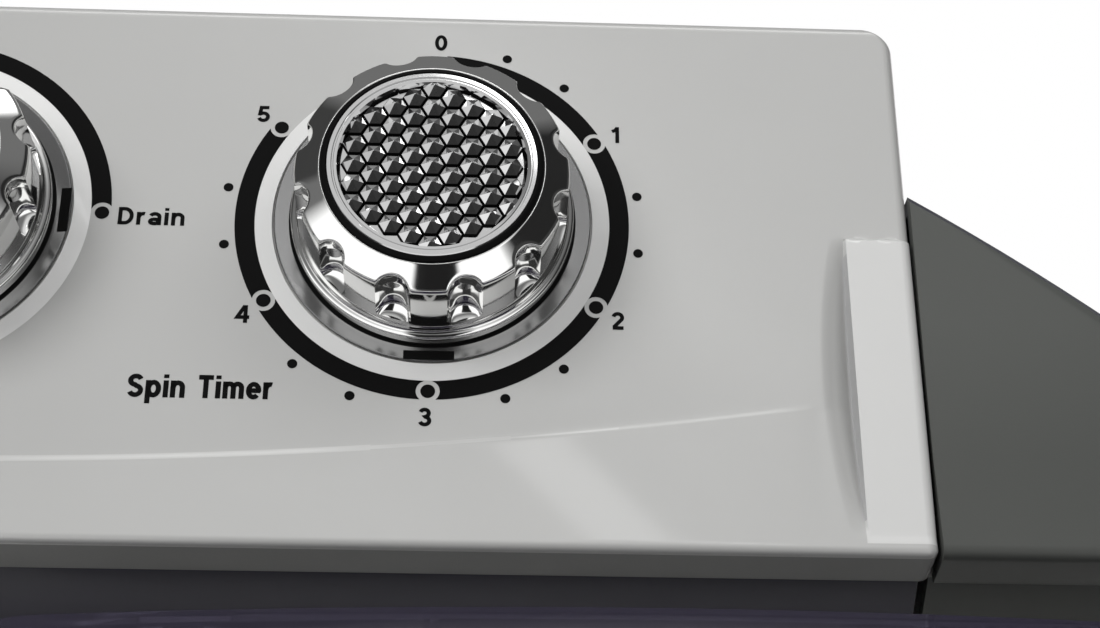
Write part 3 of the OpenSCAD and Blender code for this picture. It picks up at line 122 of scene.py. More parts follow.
# Node graphs
class Graph:
    """Short hand for building a node tree."""

    def __init__(self, tree):
        self.tree = tree
        tree.nodes.clear()

    def node(self, kind, **values):
        made = self.tree.nodes.new("ShaderNode" + kind)
        for name, value in values.items():
            if hasattr(made, name):
                setattr(made, name, value)
            else:
                self.plug(made.inputs[name.replace("_", " ")], value)
        return made

    def plug(self, socket, value):
        if isinstance(value, bpy.types.NodeSocket):
            self.tree.links.new(value, socket)
        else:
            socket.default_value = value

    def math(self, operation, *values):
        made = self.tree.nodes.new("ShaderNodeMath")
        made.operation = operation
        for socket, value in zip(made.inputs, values):
            self.plug(socket, value)
        return made.outputs[0]

    def ramp(self, factor, *stops):
        made = self.tree.nodes.new("ShaderNodeValToRGB")
        elements = made.color_ramp.elements
        while len(elements) < len(stops):
            elements.new(0.5)
        for element, (position, colour) in zip(elements, stops):
            element.position = position
            element.color = (*colour, 1)
        self.plug(made.inputs[0], factor)
        return made.outputs[0]

    def level(self, factor, low, high, low_at, high_at):
        made = self.tree.nodes.new("ShaderNodeMapRange")
        for socket, value in zip(made.inputs, (factor, low_at, high_at, low, high)):
            self.plug(socket, value)
        return made.outputs[0]


def grey(value):
    return (value, value, value)


# World: a studio for the gloss, a soft sky for the matt light, and white for the camera
world = bpy.data.worlds.new("studio")
bpy.context.scene.world = world
world.use_nodes = True
g = Graph(world.node_tree)
split = g.node("SeparateXYZ", Vector=g.node("TexCoord").outputs["Generated"])
right, rear, up = split.outputs["X"], split.outputs["Y"], split.outputs["Z"]


def fade(value, start, end):
    """Nought where the value is at the start, one at the end; the start may be the greater."""
    return g.level(value, 0.0, 1.0, start, end)


def both(*values):
    made = values[0]
    for value in values[1:]:
        made = g.math("MULTIPLY", made, value)
    return made


def lighten(base, amount, mask):
    """The base, brought towards an amount where the mask is one."""
    gap = g.math("SUBTRACT", amount, base)
    return g.math("ADD", base, g.math("MULTIPLY", gap, mask))


# How far a direction lies from the studio's middle, and from the slanted beam
MIDDLE = 0.04
BEAM_X, BEAM_REAR, BEAM_LEAN = 0.029, -0.05, 1.04
aside = g.math("ABSOLUTE", g.math("SUBTRACT", right, MIDDLE))
bend = g.math("MULTIPLY", g.math("SUBTRACT", BEAM_REAR, rear), BEAM_LEAN)
beam = g.math("ABSOLUTE", g.math("SUBTRACT", g.math("SUBTRACT", right, BEAM_X), bend))

# The studio's parts, each laid over the last: how bright it is, and the fades that bound it
STUDIO = [
    # The ceiling light over the middle, and the dim ceiling on both sides of it
    (0.75, (up, 0.78, 0.92), (aside, 0.34, 0.22)),
    (0.22, (up, 0.88, 0.97), (aside, 0.22, 0.34)),
    # The bright front
    (1.2, (rear, -0.16, -0.30), (up, 0.10, 0.16), (up, 0.76, 0.68)),
    # The rear lamp, which lights the crease
    (3.0, (rear, 0.34, 0.40), (rear, 0.60, 0.54), (up, 0.76, 0.80), (aside, 0.4, 0.3)),
    # The beam that leaves a streak on the apron
    (5.0, (beam, 0.016, 0.011), (rear, -0.185, -0.17), (rear, 0.02, 0.005), (up, 0.9, 0.94)),
    # The dark walls: right, left and low right
    (0.02, (right, 0.54, 0.62), (up, 0.82, 0.76), (rear, 0.62, 0.5)),
    (0.05, (right, -0.46, -0.54), (rear, 0.0, 0.08), (up, 0.82, 0.76)),
    (0.05, (right, 0.54, 0.62), (up, 0.56, 0.50)),
    # The dark shape of whoever looks, above and below the chest
    (0.015, (aside, 0.19, 0.155), (rear, -0.66, -0.72), (up, 0.26, 0.30)),
    (0.04, (aside, 0.19, 0.155), (rear, -0.66, -0.72), (up, 0.30, 0.26)),
]
studio = g.level(up, 0.05, 0.17, -0.5, 0.35)
for amount, *fades in STUDIO:
    studio = lighten(studio, amount, both(*[fade(*bounds) for bounds in fades]))
gloss = g.node("Background", Color=(1, 1, 1, 1), Strength=studio)

# The soft sky grows brighter upwards and towards the rear
soft = g.math("MULTIPLY", g.level(up, 0.08, 0.66, -0.05, 0.75),
              g.level(rear, 0.7, 1.0, -0.6, 0.1))
dome = g.node("Background", Color=(1, 1, 1, 1), Strength=soft)
seen = g.node("Background", Color=(1, 1, 1, 1), Strength=1.0)
rays = g.node("LightPath")
lit = g.node("MixShader")
g.plug(lit.inputs[0], rays.outputs["Is Glossy Ray"])
g.plug(lit.inputs[1], dome.outputs[0])
g.plug(lit.inputs[2], gloss.outputs[0])
pick = g.node("MixShader")
g.plug(pick.inputs[0], rays.outputs["Is Camera Ray"])
g.plug(pick.inputs[1], lit.outputs[0])
g.plug(pick.inputs[2], seen.outputs[0])
g.plug(g.node("OutputWorld").inputs[0], pick.outputs[0])


LAMP_TARGET = (0.05, 0.05, 0.5)


def lamp(name, place, width, height, power):
    """A soft lamp turned to the machine. The gloss doesn't show it, only the studio."""
    data = bpy.data.lights.new(name, "AREA")
    data.shape = "RECTANGLE"
    data.size, data.size_y = width, height
    data.energy = power
    made = bpy.data.objects.new(name, data)
    bpy.context.scene.collection.objects.link(made)
    made.location = place
    made.rotation_euler = (Vector(LAMP_TARGET) - Vector(place)).to_track_quat("-Z", "Y").to_euler()
    made.visible_glossy = False


lamp("key", (-1.2, -0.35, 2.3), 1.0, 1.0, 30)
lamp("fill", (1.3, 0.4, 2.2), 0.8, 1.0, 10)


# Materials
DRIFT_SCALE = 14.0
SMEAR_SCALE = 60.0
BUMP_DEPTH = 0.05


def surface(name, colour, roughness, metal=0.0, grain=0.0, grain_size=0.4, mottle=0.03,
            haze=0.05, coat=0.0, coat_roughness=0.1, edge=0.0, specular=0.5, clear=0.0):
    """A moulded, painted or metal surface with colour drift, hazed gloss and a fine grain."""
    made = bpy.data.materials.new(name)
    made.use_nodes = True
    g = Graph(made.node_tree)
    place = g.node("TexCoord").outputs["Object"]
    drift = g.node("TexNoise", Vector=place, Scale=DRIFT_SCALE, Detail=4.0).outputs["Fac"]
    fine = g.node("TexNoise", Vector=place, Scale=1 / (grain_size * MM),
                  Detail=2.0).outputs["Fac"]
    smear = g.node("TexNoise", Vector=place, Scale=SMEAR_SCALE, Detail=5.0,
                   Distortion=0.6).outputs["Fac"]
    base = g.ramp(drift, (0.3, [c * (1 - mottle) for c in colour]),
                  (0.7, [min(1, c * (1 + mottle)) for c in colour]))
    if edge:
        # Lighter on sharp convex edges, found from the mesh's pointiness
        convex_edges = g.ramp(g.node("NewGeometry").outputs["Pointiness"],
                      (0.505, grey(0)), (0.56, grey(1)))
        light = g.node("MixRGB", Fac=g.math("MULTIPLY", convex_edges, edge), Color1=base,
                       Color2=(*[min(1, c * 1.5 + 0.04) for c in colour], 1))
        base = light.outputs[0]
    gloss = g.level(smear, roughness - haze / 2, roughness + haze / 2, 0.3, 0.7)
    shader = g.node("BsdfPrincipled")
    g.plug(shader.inputs["Base Color"], base)
    g.plug(shader.inputs["Roughness"], gloss)
    shader.inputs["Metallic"].default_value = metal
    shader.inputs["Coat Weight"].default_value = coat
    shader.inputs["Coat Roughness"].default_value = coat_roughness
    shader.inputs["Specular IOR Level"].default_value = specular
    shader.inputs["Transmission Weight"].default_value = clear
    if grain:
        bump = g.node("Bump", Height=fine, Strength=grain, Distance=BUMP_DEPTH * MM)
        g.plug(shader.inputs["Normal"], bump.outputs[0])
    g.plug(g.node("OutputMaterial").inputs[0], shader.outputs[0])
    return made


# Meshes
def put(name, points, faces, material, body, sharp=32, kinds=None, replaces=()):
    """A piece from points in millimetres, shaded smooth below the sharp angle. With several
    materials, kinds says which of them each face has."""
    mesh = bpy.data.meshes.new(name)
    mesh.from_pydata([tuple(Vector(p) * MM) for p in points], [], faces)
    for made in material if isinstance(material, (list, tuple)) else [material]:
        mesh.materials.append(made)
    if kinds is not None:
        mesh.polygons.foreach_set("material_index", kinds)
    mesh.validate()
    work = bmesh.new()
    work.from_mesh(mesh)
    bmesh.ops.remove_doubles(work, verts=work.verts, dist=0.002 * MM)
    bmesh.ops.recalc_face_normals(work, faces=work.faces)
    work.to_mesh(mesh)
    work.free()
    mesh.shade_smooth()
    mesh.set_sharp_from_angle(angle=math.radians(sharp))
    made = bpy.data.objects.new(name, mesh)
    bpy.context.scene.collection.objects.link(made)
    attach(made, body)
    if replaces:
        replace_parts(made, *replaces)
    return made


def grid_faces(rows, columns, closed=False, start=0):
    """The quads of a grid of points, whose columns meet again where it is closed."""
    faces = []
    for i in range(rows - 1):
        for j in range(columns if closed else columns - 1):
            a, b = start + i * columns, start + (i + 1) * columns
            k = (j + 1) % columns
            faces.append((a + j, a + k, b + k, b + j))
    return faces


def turned(profile, steps):
    """Points and faces of a closed profile of (radius, height) pairs turned round the z axis."""
    points = [(r * math.cos(t), r * math.sin(t), z)
              for r, z in profile
              for t in (2 * math.pi * j / steps for j in range(steps))]
    return points, grid_faces(len(profile), steps, closed=True)


def rounded(corners, steps):
    """The outline through [point, radius] corners with round corners, as in the part."""
    made = []
    n = len(corners)
    for i, (corner, radius) in enumerate(corners):
        p = Vector(corner)
        if not radius:
            made.append(tuple(p))
            continue
        a = (Vector(corners[i - 1][0]) - p).normalized()
        b = (Vector(corners[(i + 1) % n][0]) - p).normalized()
        half = a.angle(b) / 2
        centre = p + (a + b).normalized() * radius / math.sin(half)
        start = p + a * radius / math.tan(half) - centre
        end = p + b * radius / math.tan(half) - centre
        turn = start.angle_signed(end)
        for k in range(steps + 1):
            made.append(tuple(centre + Matrix.Rotation(-turn * k / steps, 2) @ start))
    return made


def smooth(t):
    t = max(0.0, min(1.0, t))
    return t * t * (3 - 2 * t)


def blend_step(value, low, high):
    return smooth((value - low) / (high - low))


# Control panel: how far it reaches up and down its slope from the dials, and its edges
PANEL_UP = 51.2
PANEL_DOWN = 71.1
PANEL_ROLL = 6
PANEL_TOP_R = 3
PANEL_CORNER = 7.5
BACK_FALL = math.radians(58)
BACK_GAP = 0.05
EDGE_R = 2.2
WALL = 3

# The nose at its foot, and the lip that hangs from it
NOSE_RISE = 2.3
NOSE_R = 1.7
LIP_DEPTH = 11.2
LIP_LEAN = 1.8
LIP_FOOT_RISE = 0.8
LIP_FOOT_R = 0.8
# How far below the panel's foot the lip's darker finish, painted shade, starts
LIP_SHADE_BELOW = 0.5
NOSE_AIM = -50

# The crease, and the painted highlight along it, a lighter line which narrows to nothing between
# two places
CREASE_MIDDLE = -54.2
CREASE_R = 1148
CREASE_STEP = 0.35
CREASE_WIDTH = 1.7
CREASE_END = 182
CREASE_FADE = 6
HIGHLIGHT_HALF = 0.55
HIGHLIGHT_FROM, HIGHLIGHT_TO = 85, 165

# The raised strip at each end, and the crescent scooped out beside it
ENDS_FROM = 180
STRIP_X0 = 188.9
STRIP_LOW, STRIP_HIGH = -66.8, -2.5
STRIP_RISE = 1.85
STRIP_TOP = 1.0
STRIP_FOOT = 2.5
STRIP_TIP = 0.35
STRIP_SIDE = 0.2
# How far below the strip its lighter finish, painted light, reaches
STRIP_LIGHT_REACH = 2
SCOOP_REACH = 33
SCOOP_R = 160
SCOOP_X = 182.6
SCOOP_DEPTH = 3.2
SCOOP_OVER = 0.6
SCOOP_POWER = 1.4
SCOOP_LOW, SCOOP_HIGH = -64, -6
SCOOP_WALL_IN, SCOOP_WALL_OUT = 0.35, 0.25

# The grid of its points
APRON_ROWS, CREASE_ROWS, FACE_ROWS = 50, 8, 130
NOSE_ROWS = 20
MIDDLE_REACH, MIDDLE_COLUMNS = 178, 120
END_STEP, END_COLUMNS = 0.35, 60
EDGE_STEPS = 6
SQUEEZE_FROM = 100
PROBE_X = 150
PANEL_FINISHES = ("silver_panel", "strip", "scoop", "lip", "apron", "crease")


def crease_y(x):
    """Where the smile-shaped crease crosses the slope at x."""
    return CREASE_MIDDLE + CREASE_R - math.sqrt(CREASE_R ** 2 - x * x)


def crease_step(x):
    """Height of the ledge along the crease, which fades out before the end strip."""
    return CREASE_STEP * (1 - blend_step(abs(x), CREASE_END - CREASE_FADE, CREASE_END))


def strip_height(x, y, z):
    """Height over the panel's own surface of the end strip and of the crescent beside it."""
    x = abs(x)
    if x < ENDS_FROM:
        return 0.0
    middle = (STRIP_LOW + STRIP_HIGH) / 2
    along = blend_step(y, STRIP_LOW - STRIP_FOOT, STRIP_LOW) * (
        1 - blend_step(y, STRIP_HIGH - STRIP_TIP, STRIP_HIGH + STRIP_TIP))
    level = STRIP_TOP + (STRIP_RISE - STRIP_TOP) * (STRIP_HIGH - y) / (STRIP_HIGH - STRIP_LOW)
    edge = SCOOP_X + (y - middle) ** 2 / (2 * SCOOP_R)
    scoop = 0.0
    if edge < x < STRIP_X0 + SCOOP_OVER and abs(y - middle) < SCOOP_REACH:
        across = min(1.0, (x - edge) / max(SCOOP_OVER, STRIP_X0 - STRIP_SIDE - edge))
        scoop = -SCOOP_DEPTH * (1 - ((y - middle) / SCOOP_REACH) ** 2) * across ** SCOOP_POWER
    on_strip = blend_step(x, STRIP_X0 - STRIP_SIDE, STRIP_X0 + STRIP_SIDE)
    return (level - z) * on_strip * along + scoop * (1 - on_strip)


def panel_rows():
    """Row makers from the lip's inner foot over the face to the back edge: each gives the
    panel's (y, z) at x."""
    def fixed(y, z):
        return lambda x: (y, z)

    fall = SLOPE + BACK_FALL
    roll = (PANEL_UP + PANEL_ROLL * math.cos(fall), -PANEL_ROLL * math.sin(fall))
    back = rounded([((0, 0), 0), ((PANEL_UP, 0), PANEL_TOP_R), (roll, 0)], 10)
    nose = rounded([((-PANEL_DOWN + WALL, NOSE_RISE - LIP_DEPTH + LIP_FOOT_RISE), 0),
                    ((-PANEL_DOWN - LIP_LEAN, NOSE_RISE - LIP_DEPTH), LIP_FOOT_R),
                    ((-PANEL_DOWN, NOSE_RISE), NOSE_R), ((NOSE_AIM, 0), 0)], 8)
    rows = [fixed(*p) for p in nose[:-1]]
    start = nose[-2]

    def apron(t):
        def at(x):
            end = crease_y(x) - CREASE_WIDTH / 2
            y = start[0] + (end - start[0]) * t
            return y, start[1] * (1 - t) + crease_step(x) * t
        return at

    def crease(t):
        def at(x):
            y = crease_y(x) + CREASE_WIDTH * (t - 0.5)
            return y, crease_step(x) * (1 - smooth(t))
        return at

    def face(t):
        def at(x):
            begin = crease_y(x) + CREASE_WIDTH / 2
            return begin + (back[1][0] - BACK_GAP - begin) * t, 0.0
        return at

    rows += [apron(i / APRON_ROWS) for i in range(1, APRON_ROWS)]
    rows += [crease(i / CREASE_ROWS) for i in range(CREASE_ROWS + 1)]
    rows += [face(i / FACE_ROWS) for i in range(1, FACE_ROWS)]
    rows += [fixed(*p) for p in back[1:]]
    last = back[-1]
    rows.append(fixed(last[0] - WALL * math.sin(fall), last[1] - WALL * math.cos(fall)))
    return rows


def corner_half(y):
    """Half the panel's width at y, less where its top corners are round."""
    over = y - (PANEL_UP - PANEL_CORNER)
    if over <= 0:
        return PANEL_HALF
    over = min(over, PANEL_CORNER)
    return PANEL_HALF - PANEL_CORNER + math.sqrt(PANEL_CORNER ** 2 - over * over)


def panel_finish(x, y):
    """The finish of the panel's face this far out from its middle and up its slope."""
    # The lip's face: the panel's silver darkened, painted shade
    if y < -PANEL_DOWN - LIP_SHADE_BELOW:
        return "lip"
    # The line along the crease: a lighter silver, painted highlight
    if abs(y - crease_y(x)) < HIGHLIGHT_HALF * (1 - blend_step(x, HIGHLIGHT_FROM, HIGHLIGHT_TO)):
        return "crease"
    if -SCOOP_WALL_IN < x - STRIP_X0 < SCOOP_WALL_OUT and SCOOP_LOW < y < SCOOP_HIGH:
        return "scoop"
    # The strip's face: a lighter silver, painted light
    if x > STRIP_X0 and STRIP_LOW - STRIP_LIGHT_REACH < y < STRIP_HIGH:
        return "strip"
    return "apron" if y < crease_y(x) else "silver_panel"


def panel_columns(inner):
    """Places across the panel, closer together at its ends."""
    ends = [ENDS_FROM + i * END_STEP for i in range(END_COLUMNS)]
    ends = [x for x in ends if x < inner]
    middle = list(np.linspace(-MIDDLE_REACH, MIDDLE_REACH, MIDDLE_COLUMNS))
    return [-inner] + [-x for x in reversed(ends)] + middle + ends + [inner]


def control_panel(materials):
    inner = PANEL_HALF - EDGE_R
    columns = panel_columns(inner)
    turns = [i / EDGE_STEPS * math.pi / 2 for i in range(1, EDGE_STEPS + 1)]
    points, rows = [], panel_rows()
    for i, row in enumerate(rows):
        half = corner_half(row(0)[0])
        squeeze = (half - EDGE_R) / inner
        before = rows[max(0, i - 1)](PROBE_X)
        after = rows[min(len(rows) - 1, i + 1)](PROBE_X)
        along = Vector((after[0] - before[0], after[1] - before[1])).normalized()
        normal = Vector((-along.y, along.x))

        def place(x, drop=0.0):
            y, z = row(min(abs(x), PANEL_HALF))
            if i > NOSE_ROWS:
                z += strip_height(x, y, z)
            return on_panel(x, y, z) - (UP_SLOPE * normal.x + NORMAL * normal.y) * drop

        edge = [(half - EDGE_R + EDGE_R * math.sin(t), EDGE_R * (1 - math.cos(t))) for t in turns]
        edge.append((half, WALL))
        points += [place(-x, drop) for x, drop in reversed(edge)]
        points += [place(x * squeeze if abs(x) > SQUEEZE_FROM else x) for x in columns]
        points += [place(x, drop) for x, drop in edge]
    faces = grid_faces(len(rows), len(points) // len(rows))
    kinds = []
    for face in faces:
        x = sum(abs(points[k].x) for k in face) / 4
        y = sum((points[k] - on_panel(points[k].x, 0)).dot(UP_SLOPE) for k in face) / 4
        kinds.append(PANEL_FINISHES.index(panel_finish(x, y)))
    return put("control_panel_face", points, faces, materials, "machine",
               sharp=40, kinds=kinds, replaces=["control_panel"])


# Dial print: a band with nodes and dots, laid out clockwise from twelve in degrees
BAND_IN, BAND_OUT = 36.0, 40.0
BAND_ROWS = 9
NODE_R = 38.2
NODE_GAP = 2.35
NODE_DOT = 1.45
DOT_R = 42.27
DOT = 1.0
DISC_STEPS = 24
PRINT_Z = 0.05
NUMERAL = 3.9
BAND_START = {"spin": 3, "wash": 3, "selector": -90}
BAND_END = {"spin": 303.7, "wash": 303.7, "selector": 90}
NODES_AT = {"spin": (60, 120, 180, 240, 303.7), "wash": (60, 120, 180, 240, 303.7),
            "selector": (-90, 0, 90)}
DOTS_AT = {"spin": (20.5, 39.5, 81, 99, 141, 159, 201, 219, 261, 279),
           "wash": (12, 24, 36, 48, 72, 84, 96, 108, 132, 144, 156, 168, 192, 204, 216, 228,
                    252, 264, 276, 288),
           "selector": ()}


def clock(angle, radius):
    """A dial place by its angle clockwise from twelve o'clock, in degrees."""
    t = math.radians(angle)
    return radius * math.sin(t), radius * math.cos(t)


def disc(dial, x, y, radius):
    """A printed spot."""
    turns = [2 * math.pi * k / DISC_STEPS for k in range(DISC_STEPS)]
    ring = [on_panel(DIAL_X[dial] + x + radius * math.cos(t), y + radius * math.sin(t), PRINT_Z)
            for t in turns]
    return ring, [tuple(range(DISC_STEPS))]


def band(dial):
    """The band between its nodes, each end hollowed round the node's pale gap."""
    start, end = BAND_START[dial], BAND_END[dial]
    nodes = [a for a in NODES_AT[dial] if start <= a <= end]
    cuts = [(start, None)] if start not in nodes else []
    cuts += [(a, a) for a in nodes]
    if end not in nodes:
        cuts.append((end, None))
    radii = np.linspace(BAND_IN, BAND_OUT, BAND_ROWS)

    def clear(radius):
        cosine = (radius ** 2 + NODE_R ** 2 - NODE_GAP ** 2) / (2 * radius * NODE_R)
        return math.degrees(math.acos(min(1, cosine)))

    points, faces = [], []
    for (a, node_a), (b, node_b) in zip(cuts, cuts[1:]):
        steps = max(6, int((b - a) / 2))
        first = len(points)
        for radius in radii:
            low = a + (clear(radius) if node_a is not None else 0)
            high = b - (clear(radius) if node_b is not None else 0)
            for k in range(steps + 1):
                x, y = clock(low + (high - low) * k / steps, radius)
                points.append(on_panel(DIAL_X[dial] + x, y, PRINT_Z))
        faces += grid_faces(len(radii), steps + 1, start=first)
    return points, faces


def add(points, faces, more):
    """Add more points and faces to a mesh in the making."""
    first = len(points)
    points += more[0]
    faces += [tuple(first + k for k in face) for face in more[1]]


def dial_print(dial, ink):
    """A dial's printed band, nodes and dots."""
    points, faces = [], []
    add(points, faces, band(dial))
    for angle in NODES_AT[dial]:
        add(points, faces, disc(dial, *clock(angle, NODE_R), NODE_DOT))
    for angle in DOTS_AT[dial]:
        add(points, faces, disc(dial, *clock(angle, DOT_R), DOT))
    return put("print_" + dial, points, faces, ink, "machine")


NUMERALS = {
    "spin": {"0": (0.7, 43.3), "1": (37.5, 21.4), "2": (37.4, -22.0), "3": (-0.4, -43.7),
             "4": (-36.9, -22.2), "5": (-35.7, 24.4)},
    "wash": {"0": (0.7, 43.3), "3": (37.5, 21.4), "6": (37.4, -22.0), "9": (-0.4, -43.7),
             "12": (-38.4, -22.2), "15": (-37.2, 24.4)},
}


# Lettering, drawn as strokes in a box one high; a glyph is its width and its strokes
def bow(x, y, rx, ry, start, end, steps=14):
    """An elliptical arc from one angle to another, in degrees."""
    return [(x + rx * math.cos(math.radians(start + (end - start) * k / steps)),
             y + ry * math.sin(math.radians(start + (end - start) * k / steps)))
            for k in range(steps + 1)]


# Where a stem runs from the left and a foot from below, where a top stroke runs, and the height
# of small letters
STEM, TOP, SMALL = 0.095, 0.905, 0.74
SIX = [bow(0.33, 0.31, 0.235, 0.215, 0, 360),
       bow(0.36, 0.55, 0.265, 0.355, 38, 180) + [(STEM, 0.33)]]
S_CURVE = bow(0.34, 0.72, 0.235, 0.185, 18, 262) + bow(0.34, 0.29, 0.245, 0.195, 78, -162)
ARCH = bow(0.31, 0.44, 0.205, 0.205, 180, 0) + [(0.515, 0)]
GLYPHS = {
    "0": (0.66, [bow(0.33, 0.5, 0.235, 0.405, 0, 360, 24)]),
    "1": (0.50, [[(0.36, 0), (0.36, 1)], [(0.36, 0.93), (0.25, 0.79), (0.08, 0.71)]]),
    "2": (0.66, [bow(0.33, 0.69, 0.225, 0.215, 168, -32) + [(0.12, 0.14)],
                 [(0.06, STEM), (0.62, STEM)]]),
    "3": (0.64, [bow(0.30, 0.71, 0.21, 0.195, 162, -80) + bow(0.31, 0.30, 0.235, 0.205, 80, -162)]),
    "4": (0.70, [[(0.44, 0.97), (0.07, 0.32), (0.68, 0.32)], [(0.48, 0), (0.48, 1)]]),
    "5": (0.66, [[(0.60, TOP), (0.19, TOP), (0.13, 0.50)]
                 + bow(0.32, 0.325, 0.24, 0.23, 132, -162)]),
    "6": (0.66, SIX),
    "9": (0.66, [[(0.66 - x, 1 - y) for x, y in line] for line in SIX]),
    "D": (0.72, [[(STEM, 0), (STEM, 1)],
                 [(STEM, TOP), (0.28, TOP)] + bow(0.30, 0.5, 0.32, 0.405, 90, -90)
                 + [(STEM, STEM)]]),
    "N": (0.70, [[(STEM, 0), (STEM, 1)], [(0.13, 0.94), (0.57, 0.06)], [(0.605, 0), (0.605, 1)]]),
    "S": (0.68, [S_CURVE]),
    "T": (0.66, [[(0.0, TOP), (0.66, TOP)], [(0.33, 0), (0.33, 0.9)]]),
    "W": (0.98, [[(0.06, 1), (0.26, 0.06), (0.49, 0.92), (0.72, 0.06), (0.92, 1)]]),
    "a": (0.60, [bow(0.29, 0.47, 0.21, 0.18, 158, 0) + [(0.50, 0.0)],
                 bow(0.28, 0.21, 0.20, 0.125, 0, 360)]),
    "e": (0.62, [[(0.09, 0.37), (0.53, 0.37)] + bow(0.31, 0.365, 0.225, 0.28, 4, 318, 20)]),
    "f": (0.38, [[(0.19, 0), (0.19, 0.78)] + bow(0.31, 0.79, 0.12, 0.12, 180, 80, 6),
                 [(0.02, 0.65), (0.37, 0.65)]]),
    "h": (0.62, [[(STEM, 0), (STEM, 1)], ARCH]),
    "i": (0.19, [[(STEM, 0), (STEM, SMALL)], [(STEM, 0.84), (STEM, 1)]]),
    "l": (0.19, [[(STEM, 0), (STEM, 1)]]),
    "m": (0.92, [[(STEM, 0), (STEM, SMALL)], bow(0.275, 0.47, 0.18, 0.175, 180, 0) + [(0.455, 0)],
                 bow(0.635, 0.47, 0.18, 0.175, 180, 0) + [(0.815, 0)]]),
    "n": (0.62, [[(STEM, 0), (STEM, SMALL)], ARCH]),
    "o": (0.64, [bow(0.32, 0.37, 0.23, 0.28, 0, 360, 20)]),
    "p": (0.66, [[(STEM, -0.27), (STEM, SMALL)], bow(0.34, 0.37, 0.225, 0.28, 0, 360, 20)]),
    "r": (0.42, [[(STEM, 0), (STEM, SMALL)], bow(0.31, 0.42, 0.205, 0.225, 180, 72)]),
    "s": (0.56, [[(x * 0.85, y * SMALL) for x, y in S_CURVE]]),
    "t": (0.38, [[(0.19, 0.93), (0.19, 0.20)] + bow(0.31, 0.21, 0.12, 0.115, 180, 275, 6),
                 [(0.02, 0.65), (0.36, 0.65)]]),
    " ": (0.34, []),
}
STROKE = 0.205
GLYPH_GAP = 0.13
MITRE_FROM = 0.3
MITRE_LEAST = 0.45


def ribbon(line, thick):
    """A stroke's outline as a strip of quads, mitred at its corners."""
    line = [Vector(p) for p in line]
    closed = (line[0] - line[-1]).length < 1e-6
    points = []
    last = len(line) - 1
    for i, p in enumerate(line):
        before = p - line[i - 1] if i else (line[-1] - line[-2] if closed else None)
        after = line[i + 1] - p if i < last else (line[1] - line[0] if closed else None)
        before, after = before or after, after or before
        a, b = before.normalized(), after.normalized()
        along = (a + b).normalized() if (a + b).length > MITRE_FROM else a
        side = Vector((-along.y, along.x)) * (thick / 2 / max(MITRE_LEAST, along.dot(a)))
        points += [p + side, p - side]
    return points, [(2 * i, 2 * i + 1, 2 * i + 3, 2 * i + 2) for i in range(last)]


def lettering(name, text, x, y, height, ink, width=None):
    """Printed words with their foot's middle at x, y, stretched to a width if one is given."""
    run = sum(GLYPHS[c][0] + GLYPH_GAP for c in text) - GLYPH_GAP
    stretch = width / (run * height) if width else 1.0
    points, faces, pen = [], [], -run / 2
    for c in text:
        advance, lines = GLYPHS[c]
        for line in lines:
            flat, quads = ribbon([((pen + u) * height * stretch, v * height) for u, v in line],
                                 STROKE * height)
            add(points, faces, ([on_panel(x + p.x, y + p.y, PRINT_Z) for p in flat], quads))
        pen += advance + GLYPH_GAP
    return put(name, points, faces, ink, "machine")


# Knobs: radii from a knob's axis, and heights over the panel
GRIP_R = 27.1
BROW_R, BROW_Z = 26.9, 19.7
SHOULDER_Z = 22.45
KNOB_H = 23.0
RING_R = 21.7
LENS_R = 20.6
FLANGE_R, FLANGE_Z = 28.6, 3.6
FLANGE_FOOT = 0.9
GRIP_STEP = 0.33

# The scallops round the grip: each a trough with a round foot, leaning out above its bend
SCALLOPS = 12
SCALLOP_R = 3.5
SCALLOP_AXIS = 27.2
SCALLOP_FOOT = 7.3
SCALLOP_ROUND = 1.2
SCALLOP_BEND = 16.0
SCALLOP_LEAN = 0.2
SCALLOP_STEPS = 44
SCALLOP_JOIN = 0.8
FAR = 99.0

# The dish round the flange with its groove, where a black ring is painted shade, and its index bar,
# and the coned ring on the panel
SKIRT_R = 32.1
DISH_FOOT, DISH_RISE = 0.5, 1.0
GROOVE = 0.45
GROOVE_TOP = 0.72
BAR_HALF = 5.0
BAR_R, BAR_DEPTH = 29.8, 2.1
BAR_PROUD = 0.1
BAR_ROWS, BAR_COLUMNS = 5, 15
BOSS_R0, BOSS_R1 = 32.4, 35.95
BOSS_RISE = 0.5
RING_STEPS = 160


def soft_min(a, b, width):
    """The lesser of two values, with a round join of the given width."""
    gap = max(0.0, width - abs(a - b)) / width
    return min(a, b) - gap * gap * width / 4


def trough(z, angle):
    """Radius at which a scallop's wall stands at this height and angle from its middle."""
    centre = SCALLOP_AXIS + SCALLOP_LEAN * max(0.0, z - SCALLOP_BEND)
    radius = SCALLOP_R
    if z < SCALLOP_FOOT:
        return FAR
    if z < SCALLOP_FOOT + SCALLOP_ROUND:
        drop = 1 - (z - SCALLOP_FOOT) / SCALLOP_ROUND
        radius -= SCALLOP_ROUND * (1 - math.sqrt(1 - drop * drop))
    side = abs(centre * math.sin(angle))
    if side >= radius:
        return FAR
    return centre * math.cos(angle) - math.sqrt(radius * radius - side * side)


def grip_profile():
    """The grip without its scallops: (radius, height) from the flange to the ring's seat."""
    return rounded([((FLANGE_R, FLANGE_FOOT), 0), ((FLANGE_R, FLANGE_Z), 0.7),
                    ((GRIP_R + 0.25, FLANGE_Z + 0.4), 0.25), ((GRIP_R, FLANGE_Z + 1.6), 1.2),
                    ((BROW_R, BROW_Z), 1.2), ((RING_R, SHOULDER_Z), 0.3),
                    ((RING_R - 0.2, KNOB_H - 2), 0)], 7)


